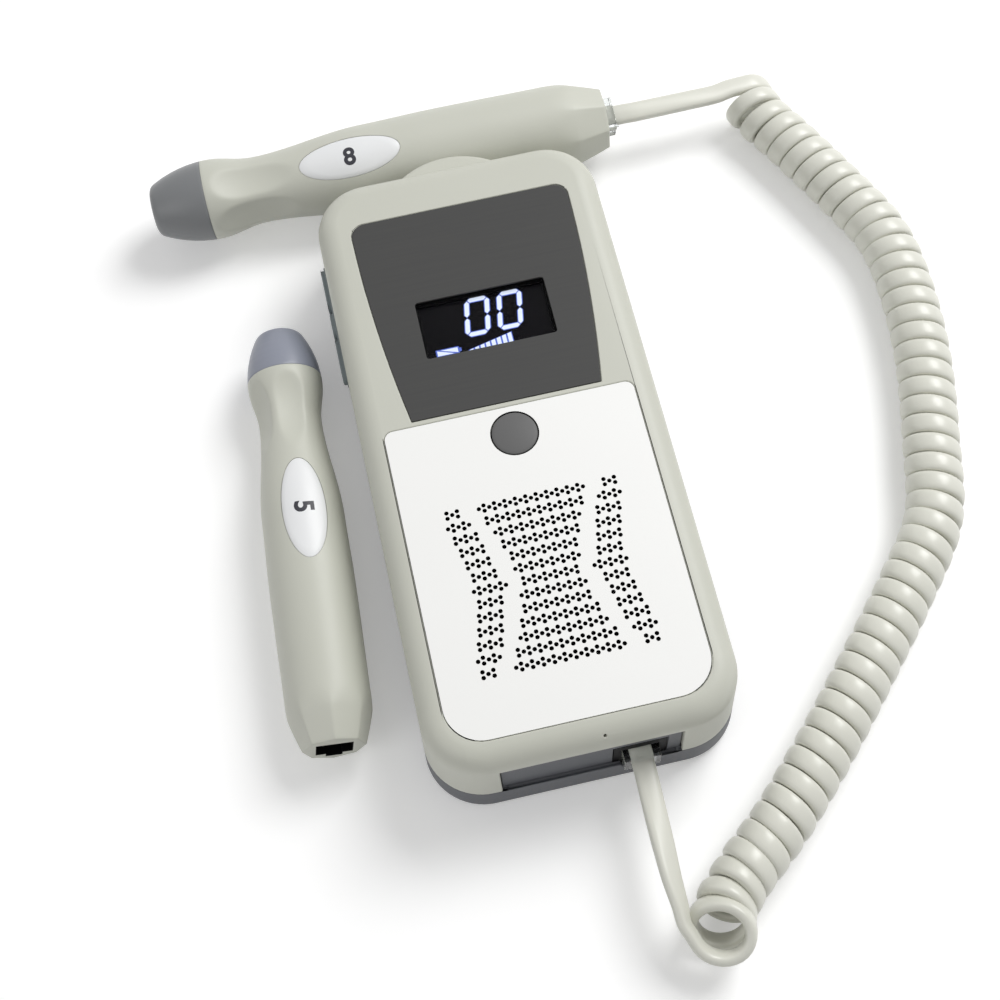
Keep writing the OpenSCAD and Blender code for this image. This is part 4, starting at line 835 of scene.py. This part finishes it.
# %% The recipe of the probe's skin
SIZES = {
    "Neck": 9.5, "Waist": 7.9, "Ring": 10.2, "Belly": 10.45, "Tail": 7.5, "Neck place": 14.5, "Waist place": 26.0,
    "Shoulder place": 53.0, "Belly place": 70.0, "Ring place": 103.5, "Length": PROBE_LENGTH,
    "Ball": 24.0, "Dimple": 1.0, "Dimple angle": math.radians(62), "Softness": 0.5, "Flat softness": 1.8,
}
STRETCHES = [("Neck", "Waist", "Neck place", "Waist place"), ("Waist", "Ring", "Waist place", "Shoulder place"),
             ("Ring", "Belly", "Shoulder place", "Belly place"), ("Belly", "Ring", "Belly place", "Ring place")]
TAIL_ROUND = 1.2
FLATS = 8
skin = Recipe("probe_skin", list(SIZES))
spot = skin.node("GeometryNodeInputPosition")
angle, place, inset = (skin.node("ShaderNodeSeparateXYZ", {"Vector": spot}, axis) for axis in "XYZ")


def between(t, first, last, low, high):
    """An eased step from low to high while t goes from first to last."""
    u = (t - first) / (last - first)
    u = u.math("MAXIMUM", 0.0).math("MINIMUM", 1.0)
    return (high - low) * (0.5 - 0.5 * (u * math.pi).math("COSINE"))


s = skin.size
turned = s("Neck")
for low, high, first, last in STRETCHES:
    turned = turned + between(place, s(first), s(last), s(low), s(high))
down_tail = (place - s("Ring place")) / (s("Length") - s("Ring place"))
turned = turned - down_tail.math("MAXIMUM", 0.0) * (s("Ring") - s("Tail") - TAIL_ROUND)
sector = angle / (2 * math.pi / FLATS)
off_middle = (sector.math("FRACT") - 0.5) * (2 * math.pi / FLATS)
slope = (s("Ring") - s("Tail")) / (s("Length") - s("Ring place"))
flat_at = s("Tail") * math.cos(math.pi / FLATS) + (s("Length") - place) * slope
formed = turned.math("SMOOTH_MIN", flat_at / off_middle.math("COSINE"), s("Flat softness"))
for facing in (0.0, s("Dimple angle"), math.pi):
    beside = angle - facing
    straight = beside.math("COSINE").math("MAXIMUM", 0.6)
    distance = s("Waist") - s("Dimple") + s("Ball")
    room = s("Ball") * s("Ball") - (place - s("Waist place")) ** 2 - distance * distance * (1 - straight * straight)
    hollow = distance * straight - room.math("MAXIMUM", 0.0).math("SQRT")
    formed = formed.math("SMOOTH_MIN", hollow, s("Softness"))
radius = (formed - inset).math("MAXIMUM", 0.0)
rolled_up = skin.vector(radius * angle.math("COSINE"), radius * angle.math("SINE"), place)
skin.end(skin.node("GeometryNodeMergeByDistance", {
    "Geometry": skin.node("GeometryNodeSetPosition", {"Geometry": skin.seed, "Position": rolled_up}),
    "Distance": 0.002}))

# %% The flat grid that is rolled up
CAP_END, EDGE = 13.3, 0.18
AROUND = 144
POLE = 100.0
rows = [(CAP_END, POLE), (CAP_END, EDGE), (CAP_END + 0.3 * EDGE, 0.3 * EDGE), (CAP_END + EDGE, 0)]
rows += [(t, 0) for t in np.linspace(CAP_END + 0.8, 103, 118)]
rows += [(t, 0) for t in np.linspace(103.3, PROBE_LENGTH - EDGE, 14)]
rows += [(PROBE_LENGTH - 0.3 * EDGE, 0.3 * EDGE), (PROBE_LENGTH, EDGE), (PROBE_LENGTH, POLE)]
grid_points = [(2 * math.pi * k / AROUND, t, inset) for t, inset in rows for k in range(AROUND + 1)]
grid_faces = [(i, i + 1, i + AROUND + 2, i + AROUND + 1)
              for row in range(len(rows) - 1) for i in range(row * (AROUND + 1), row * (AROUND + 1) + AROUND)]


def probe_radius(t, size):
    """The turned form's radius in numbers, where label and figure need it."""
    total = SIZES["Neck"]
    for low, high, first, last in STRETCHES:
        done = (t / size - SIZES[first]) / (SIZES[last] - SIZES[first])
        total += (SIZES[high] - SIZES[low]) * float(ease(done))
    return total * size


def carve(made, cutters):
    """Cuts shapes out of a piece and uses them up."""
    for cutter in cutters:
        add_modifier(made, "cut", "BOOLEAN", operation="DIFFERENCE", solver="EXACT", object=cutter)
    made = settle(made, made.name)
    for cutter in cutters:
        bpy.data.objects.remove(cutter)
    return made


def block(name, low, high):
    corners = [(x, y, z) for x in (low[0], high[0]) for y in (low[1], high[1]) for z in (low[2], high[2])]
    faces = [(0, 1, 3, 2), (4, 6, 7, 5), (0, 4, 5, 1), (2, 3, 7, 6), (0, 2, 6, 4), (1, 5, 7, 3)]
    return face_outwards(add_mesh(name, corners, faces))


def oval_shell(name, at, size, half_l, half_w, rim):
    """A closed shell over an oval of the skin. The rim gives shares of the oval and heights over the skin."""
    steps = 96
    verts = []
    for part, height in rim:
        for k in range(steps):
            a = 2 * math.pi * k / steps
            t, y = at + half_l * part * math.cos(a), half_w * part * math.sin(a)
            verts.append((math.sqrt((probe_radius(t, size) + height) ** 2 - y * y), y, t))
    return face_outwards(add_mesh(name, verts, ring_faces(len(rim), steps)), weld=0.001)


# %% The probe bodies and their labels
LABEL_HALF_L, LABEL_HALF_W, LABEL_T = 12.2, 4.75, 0.3
HELD_LABEL_AT, SPARE_LABEL_AT = 48.7, 48.0
SEAT_GAP = 0.12
RINGS = (0, 0.2, 0.4, 0.6, 0.8)


def oval_rim(low, high, round_edge):
    """From the middle of the underside out to the rim and back to the middle of the top."""
    return ([(part, low) for part in RINGS] + [(1, low), (1, high - round_edge), (1 - round_edge / 6, high)]
            + [(part, high) for part in reversed(RINGS)])


MOUTH_X, MOUTH_Y, MOUTH_DEPTH = 3.2, 3.95, 2.4
LATCH_X, LATCH_Y = 4.8, 1.8
MOUTH = [(MOUTH_X, -MOUTH_Y), (MOUTH_X, MOUTH_Y), (-MOUTH_X, MOUTH_Y), (-MOUTH_X, LATCH_Y), (-LATCH_X, LATCH_Y),
         (-LATCH_X, -LATCH_Y), (-MOUTH_X, -LATCH_Y), (-MOUTH_X, -MOUTH_Y)]
LINER, LINER_GAP = 0.09, 0.05


def tube_wall(name, outer, wall, low, high):
    """An upright closed wall, the given thickness inside an outline that runs round its middle."""
    inner = []
    for (x0, y0), (x1, y1), (x2, y2) in zip(outer[-1:] + outer[:-1], outer, outer[1:] + outer[:1]):
        before, after = unit(np.array((x1 - x0, y1 - y0))), unit(np.array((x2 - x1, y2 - y1)))
        inner.append(np.array((x1, y1)) + wall * np.array((-before[1] - after[1], before[0] + after[0])))
    loops = ((outer, low), (outer, high), (inner, high), (inner, low))
    verts = [(x, y, z) for loop, z in loops for x, y in loop]
    return face_outwards(add_mesh(name, verts, ring_faces(4, len(outer), closed=True)))


# The mouth's black lining stands for the jack's rim and also paints shade on the mouth's putty walls.
def mouth_liner(side, body, place, end):
    """The jack's black rim, which lines the moulding's mouth and is also painted shade on the mouth's walls."""
    made = tube_wall(side + "_jack_rim", MOUTH, LINER, end - MOUTH_DEPTH + LINER_GAP, end - LINER_GAP)
    dress(put(made, place), black, body, crease=30)


def probe_moulding(side, body, place, size, label_at):
    seed = add_mesh(side + "_grid", grid_points, grid_faces)
    made = face_outwards(skin.grow(side + "_moulding", seed, putty, SIZES))
    made.data.transform(Matrix.Scale(size, 4))
    end = PROBE_LENGTH * size
    made = carve(made, [
        oval_shell("seat", label_at, size, LABEL_HALF_L + SEAT_GAP, LABEL_HALF_W + SEAT_GAP,
                   oval_rim(-LABEL_T, 3.0, 0)),
        block("neck_room", (-4.05, -4.55, end - 4.2), (4.05, 4.55, end - 1.2)),
        block("socket_room", (-5.65, -4.55, end - 14.45), (5.55, 4.55, end - 3.85)),
        block("mouth", (-MOUTH_X, -MOUTH_Y, end - MOUTH_DEPTH), (MOUTH_X, MOUTH_Y, end + 1)),
        block("latch_room", (-LATCH_X, -LATCH_Y, end - MOUTH_DEPTH), (1 - MOUTH_X, LATCH_Y, end + 1)),
    ])
    put(made, place)
    dress(made, putty, body, 42, [side + "_body"])
    mouth_liner(side, body, place, end)
    label = oval_shell(side + "_oval_label", label_at, size, LABEL_HALF_L, LABEL_HALF_W,
                       oval_rim(0.02 - LABEL_T, -0.02, 0.06))
    dress(put(label, place), label_paper, body, 50, [side + "_label"])
    print(side, "moulding:", len(made.data.polygons), "faces")


probe_moulding("probe", "held_probe", AT_PROBE, 1.0, HELD_LABEL_AT)
probe_moulding("spare", "spare_probe", AT_SPARE, SPARE_SIZE, SPARE_LABEL_AT)

# %% [markdown]
# ## The numbers on the labels
# Each label carries a plain number, so that the two probes can be told apart. The number is made as text, turned into
# a mesh, cut finely enough to bend, and wrapped round the probe a hair above the paper.


# %% Numbers
NUMBER_TALL, LONGEST_EDGE = 4.4, 0.07
INK_OVER, INK_UNDER = 0.012, 0.05


def number(side, text, body, place, size, label_at):
    words = bpy.data.curves.new(side + "_number", "FONT")
    words.body, words.extrude, words.offset, words.resolution_u = text, 0.01, 0.03, 6
    made = face_outwards(settle(add(side + "_text", words), side + "_number"), weld=0.0002)
    with editing(made.data) as bm:
        for _ in range(3):
            long_edges = [e for e in bm.edges if e.calc_length() > LONGEST_EDGE]
            bmesh.ops.subdivide_edges(bm, edges=long_edges, cuts=1)
            bmesh.ops.triangulate(bm, faces=bm.faces)
        points = np.array([v.co for v in bm.verts])
        low, high = points.min(axis=0), points.max(axis=0)
        scale, middle = NUMBER_TALL / (high[1] - low[1]), (low + high) / 2
        for v in bm.verts:
            t, y = label_at + (v.co.x - middle[0]) * scale, (middle[1] - v.co.y) * scale
            raised = probe_radius(t, size) + (INK_OVER if v.co.z > middle[2] else -INK_UNDER)
            v.co = (math.sqrt(raised * raised - y * y), y, t)
        bmesh.ops.recalc_face_normals(bm, faces=bm.faces)
    put(made, place)
    dress(made, label_ink, body, crease=60)


number("probe", "8", "held_probe", AT_PROBE, 1.0, HELD_LABEL_AT)
number("spare", "5", "spare_probe", AT_SPARE, SPARE_SIZE, SPARE_LABEL_AT)
print("numbers wrapped")

# %% [markdown]
# ## Cells, springs and screws
# What repeats is made once and set on points by a recipe. Each point of the seed carries its own turn, because the
# middle cell lies the other way round. The springs wind along a spiral, which Geometry Nodes has ready.

# %% Recipes for repeated pieces
setter = Recipe("set_on_points", ("Shape",), "NodeSocketObject")
setter.end(setter.turned_like_seed(setter.node("GeometryNodeObjectInfo", {"Object": setter.size("Shape")}, "Geometry")))
winder = Recipe("conical_springs", ("Turns", "Wide", "Narrow", "Length", "Wire radius", "Start"))
s = winder.size
spiral = winder.node("GeometryNodeCurveSpiral", {
    "Resolution": 32, "Rotations": s("Turns"), "Start Radius": s("Wide"), "End Radius": s("Narrow"),
    "Height": s("Length")})
wound = winder.sweep(spiral, WIRE_CORNERS, s("Wire radius"))
winder.end(winder.turned_like_seed(winder.shift(wound, 0, 0, s("Start"))))


def lathe(name, profiles, sides=48):
    """Turned shapes from closed profiles of (radius, height)."""
    verts, faces = [], []
    for profile in profiles:
        faces += ring_faces(sides, len(profile), len(verts), closed=True)
        for k in range(sides):
            a = 2 * math.pi * k / sides
            verts += [(r * math.cos(a), r * math.sin(a), z) for r, z in profile]
    return face_outwards(add_mesh(name, verts, faces), weld=0.001)


def set_out(name, shape, places, turns, finish, nodes=(), body="unit"):
    """Sets a shape on places, each with its turn. The shape is used up."""
    seed = points_with_turns(name + "_seed", places, turns)
    made = put(face_outwards(setter.grow(name, seed, finish, {"Shape": shape})))
    bpy.data.objects.remove(shape)
    dress(made, finish, body, 40, nodes)


# %% Three cells, their springs and the case screws
CELL_Y, CELL_Z, CELL_PITCH = -26.4, 9.45, 15
cell_places = [(x, CELL_Y, CELL_Z) for x in (-CELL_PITCH, 0, CELL_PITCH)]
cell_turns = [(-math.pi / 2, 0, 0), (-math.pi / 2, 0, math.pi), (-math.pi / 2, 0, 0)]
sleeve = [(6.2, -22.7), (6.9, -22.72), (7.17, -22.5), (7.25, -22.1), (7.25, 25.7), (7.17, 26.1), (6.9, 26.3),
          (6.2, 26.33), (6.2, 25), (6.2, -21.5)]
ends = [
    [(0, -22.9), (5, -22.9), (5.3, -22.75), (6.3, -22.78), (6.3, -21.6), (0, -21.6)],
    [(0, 25.2), (6.3, 25.2), (6.3, 26.25), (5.9, 26.38), (3.3, 26.38), (2.85, 26.6), (2.7, 27.3), (2.45, 27.58),
     (0, 27.6)],
]
cells = ["battery_left", "battery_middle", "battery_right"]
set_out("cell_sleeves", lathe("sleeve", [sleeve]), cell_places, cell_turns, jacket, cells)
set_out("cell_ends", lathe("ends", ends), cell_places, cell_turns, steel)
springs = winder.grow("cell_springs", points_with_turns("spring_seed", cell_places, cell_turns), steel, {
    "Turns": 3.0, "Wide": 5.0, "Narrow": 2.6, "Length": 4.0, "Wire radius": 0.35, "Start": -27.25})
dress(put(face_outwards(springs)), steel, "unit", 50, ["battery_springs"])
thread = [(1.2 - 0.25 * (i % 2), 4.2 + 0.5 * i) for i in range(22)]
screw = lathe("screw", [[(0, 1.6), (1.7, 1.6), (2.15, 1.75), (2.36, 2.05), (2.4, 2.5), (2.4, 3.4), (1.2, 3.4), *thread,
                         (0.6, 15.4), (0, 15.4)]])
cross = [block("cross_" + str(i), (-w, -h, 1), (w, h, 2.5)) for i, (w, h) in enumerate(((1.4, 0.3), (0.3, 1.4)))]
screw_places = [(x, y, 0) for x in (-25, 25) for y in (-62.5, 62.5)]
screw_turns = [(0, 0, turn) for turn in (0.3, 1.1, 0.7, 0.1)]
set_out("case_screws_threaded", carve(screw, cross), screw_places, screw_turns, steel, ["case_screws"])
print("cells, springs and screws set")

# %% [markdown]
# ## Overlay, window and display
# A dark printed film covers the display end. Behind the clear pane lies a black negative display, whose figures are
# the only lit things on the object.

# %% Film, pane and glass
film = Finish("dark_overlay_film", srgb(75, 75, 75), 0.5)
rubbed = film.noise(1.2 * MM, 2, None, (0.05, 2.2, 1))
film.set({
    "Base Color": film.mix(rubbed, srgb(73, 73, 73), srgb(78, 78, 77)),
    "Roughness": 0.44 + 0.14 * rubbed,
    "Specular IOR Level": 0.14,
})
film.emboss(rubbed, 0.004 * MM)
pane = Finish("clear_pane", srgb(6, 6, 9), 0.08)
pane.set({"Alpha": 0.16, "Roughness": 0.05 + 0.06 * pane.noise(6 * MM, 2), "Specular IOR Level": 0.16})
dark_glass = Finish("negative_display", srgb(12, 11, 16), 0.12)
dark_glass.set({
    "Base Color": dark_glass.mix(dark_glass.noise(7 * MM, 2), srgb(6, 6, 9), srgb(22, 20, 26)),
    "Roughness": 0.1 + 0.1 * dark_glass.noise(3 * MM, 2),
    "Specular IOR Level": 0.1,
})

# %% The display end
recast("display_overlay", film, 0.08)
recast("display_window", pane, 0.08)
recast("display_glass", dark_glass, 0.1)
recast("display_frame", black, 0.1)
WINDOW_LOW, WINDOW_HIGH = (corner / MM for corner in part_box("display_window"))
GLASS_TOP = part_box("display_glass")[1].z / MM
WINDOW_LIP, FILM_INSET, PANE_PLAY = 1.3, 0.2, 0.15
OPENING_INSET = WINDOW_LIP + FILM_INSET - PANE_PLAY
OPENING_LINING_WALL = 0.25


def window_frame(name, inset, wall, low, high):
    """A black rectangle round the window, the given inset inside the pane's edge."""
    x0, x1, y0, y1 = WINDOW_LOW.x + inset, WINDOW_HIGH.x - inset, WINDOW_LOW.y + inset, WINDOW_HIGH.y - inset
    made = tube_wall(name, [(x0, y0), (x1, y0), (x1, y1), (x0, y1)], wall, low, high)
    dress(put(made), black, "unit", 30)


# A thin black lining covers the walls of the window's opening and makes them dark.
window_frame("display_gasket", OPENING_INSET, OPENING_LINING_WALL, GLASS_TOP + 0.02, WINDOW_LOW.z - 0.02)
window_frame("pane_border_print", 0, OPENING_INSET + OPENING_LINING_WALL, WINDOW_LOW.z + 0.01, WINDOW_LOW.z + 0.03)
print("display end covered")

# %% [markdown]
# ## The lit figures
# The display reads two noughts in slanted seven-bar figures, with a battery sign and a rising volume bar under them.
# Each is a thin plate just over the glass, in a blue halo and a white core, as a lit display shows.

# %% Lit figures
glow = Finish("lit_core", srgb(226, 236, 255), 0.4)
glow.set({"Emission Color": srgb(226, 236, 255), "Emission Strength": 0.9})
halo = Finish("lit_halo", srgb(86, 110, 205), 0.4)
halo.set({"Emission Color": srgb(86, 110, 205), "Emission Strength": 0.8})
SLANT, SHEET_T = 0.17, 0.02
FIGURE_Y, FIGURE_WIDE, FIGURE_TALL = 25.9, 4.6, 8.6


def plates(name, shapes, low, finish):
    """Flat shapes, given by their corners, as thin closed plates."""
    made, high = add_mesh(name, []), low + SHEET_T
    with editing(made.data) as bm:
        for shape in shapes:
            face = bm.faces.new([bm.verts.new((x * MM, y * MM, low * MM)) for x, y in shape])
            grown = bmesh.ops.extrude_face_region(bm, geom=[face])
            for v in grown["geom"]:
                if isinstance(v, bmesh.types.BMVert):
                    v.co.z = high * MM
        bmesh.ops.recalc_face_normals(bm, faces=bm.faces)
    dress(made, finish, "unit", crease=10)


def bar(x0, y0, x1, y1, width, trim):
    """A bar with pointed ends from one corner of a figure to the next."""
    start, end = np.array((x0, y0)), np.array((x1, y1))
    way = unit(end - start)
    start, end = start + way * trim, end - way * trim
    across = np.array((-way[1], way[0])) * width / 2
    tip = way * width / 2
    return [start, start + tip + across, end - tip + across, end, end - tip - across, start + tip - across]


def nought(x0, width, trim):
    wide, tall = FIGURE_WIDE, FIGURE_TALL
    corners = [(0, 0), (wide, 0), (wide, tall / 2), (wide, tall), (0, tall), (0, tall / 2)]
    return [[(x0 + x + SLANT * y, FIGURE_Y + y) for x, y in bar(*a, *b, width, trim)]
            for a, b in zip(corners, corners[1:] + corners[:1])]


# %% Two noughts, the battery sign and the volume bar
cores, halos = [], []
for left in (-4.6, 2.8):
    cores += nought(left, 1.0, 0.18)
    halos += nought(left, 1.4, 0.02)
battery = [(-12.4, 21.95), (-7.2, 21.95), (-7.2, 22.4), (-6.7, 22.4), (-6.7, 23.3), (-7.2, 23.3), (-7.2, 23.75),
           (-12.4, 23.75)]
halos.append(battery)
cores += [[(-12.1, 22.2), (-8.4, 22.2), (-12.1, 23.5)], [(-7.5, 22.25), (-7.5, 23.5), (-11.3, 23.5)]]
RAMP_STEPS, RAMP_X, RAMP_Y, RAMP_LONG = 8, -5.2, 21.8, 10.2


def ramp_bar(left, right, low, high, drop):
    return [(left, low), (right, low), (right, high), (left, high - drop)]


for i in range(RAMP_STEPS):
    x0 = RAMP_X + RAMP_LONG * i / RAMP_STEPS
    top = RAMP_Y + 0.45 + 2.35 * (i + 1) / RAMP_STEPS
    halos.append(ramp_bar(x0, x0 + 1.28, RAMP_Y, top, 0.3))
    cores.append(ramp_bar(x0 + 0.2, x0 + 1.08, RAMP_Y + 0.15, top - 0.15, 0.22))
plates("lit_figures_halo", halos, GLASS_TOP, halo)
plates("lit_figures_core", cores, GLASS_TOP + SHEET_T, glow)
print("lit figures:", len(cores), "bars")

# %% [markdown]
# ## Floor and light
# A product picture wants a white table, a big soft light from the upper right and an even sky. The light is set so
# that a white face turned up renders about as white as it is written. The white of the background comes from the
# table and the sky where the camera or a reflection sees them, and puts no more light on the object.

# %% Floor
HALF_TABLE, TABLE_DROP, TABLE_GLOW = 3.0, 0.02, 0.24
floor = add_mesh("floor", [(x * HALF_TABLE, y * HALF_TABLE, 0) for x, y in ((-1, -1), (1, -1), (1, 1), (-1, 1))],
                 [(0, 1, 2, 3)])
floor.location.z = -TABLE_DROP * MM
floor_finish = Finish("white_table", srgb(246, 246, 246), 0.9)
tree = floor_finish.tree


def seen_directly(tree):
    """1 where the camera, a mirror or clear plastic sees the surface."""
    path = tree.nodes.new("ShaderNodeLightPath")
    rays = [Term(tree, path.outputs[n]) for n in ("Is Camera Ray", "Is Glossy Ray", "Is Transmission Ray")]
    return (rays[0] + rays[1] + rays[2]).math("MINIMUM", 1.0)


white = tree.nodes.new("ShaderNodeEmission")
white.inputs["Color"].default_value = (1, 1, 1, 1)
blend_in = tree.nodes.new("ShaderNodeAddShader")
plug(tree, white.inputs["Strength"], seen_directly(tree) * TABLE_GLOW)
tree.links.new(floor_finish.shader.outputs[0], blend_in.inputs[0])
tree.links.new(white.outputs[0], blend_in.inputs[1])
tree.links.new(blend_in.outputs[0], tree.nodes["Material Output"].inputs["Surface"])
floor.data.materials.append(floor_finish.material)

# %% Light
world = bpy.data.worlds.new("studio")
scene.world = world
world.use_nodes = True
sky = world.node_tree.nodes["Background"]
sky.inputs["Color"].default_value = (1, 1, 1, 1)
SKY_LEVEL, SOFTBOX_SIDE = 0.36, 0.5
plug(world.node_tree, sky.inputs["Strength"], SKY_LEVEL + seen_directly(world.node_tree) * (1 - SKY_LEVEL))


def softbox(name, place, watts):
    """A square soft light, aimed at the middle of the model."""
    data = bpy.data.lights.new(name, "AREA")
    data.shape = "RECTANGLE"
    data.size = data.size_y = SOFTBOX_SIDE
    data.energy = watts
    lamp = add(name, data)
    lamp.location = place
    lamp.rotation_euler = (-Vector(place)).to_track_quat("-Z", "Y").to_euler()


softbox("key_light", (0.55, 0.35, 0.75), 6.9)
softbox("fill_light", (-0.7, -0.3, 0.5), 1.1)
print("lights set")
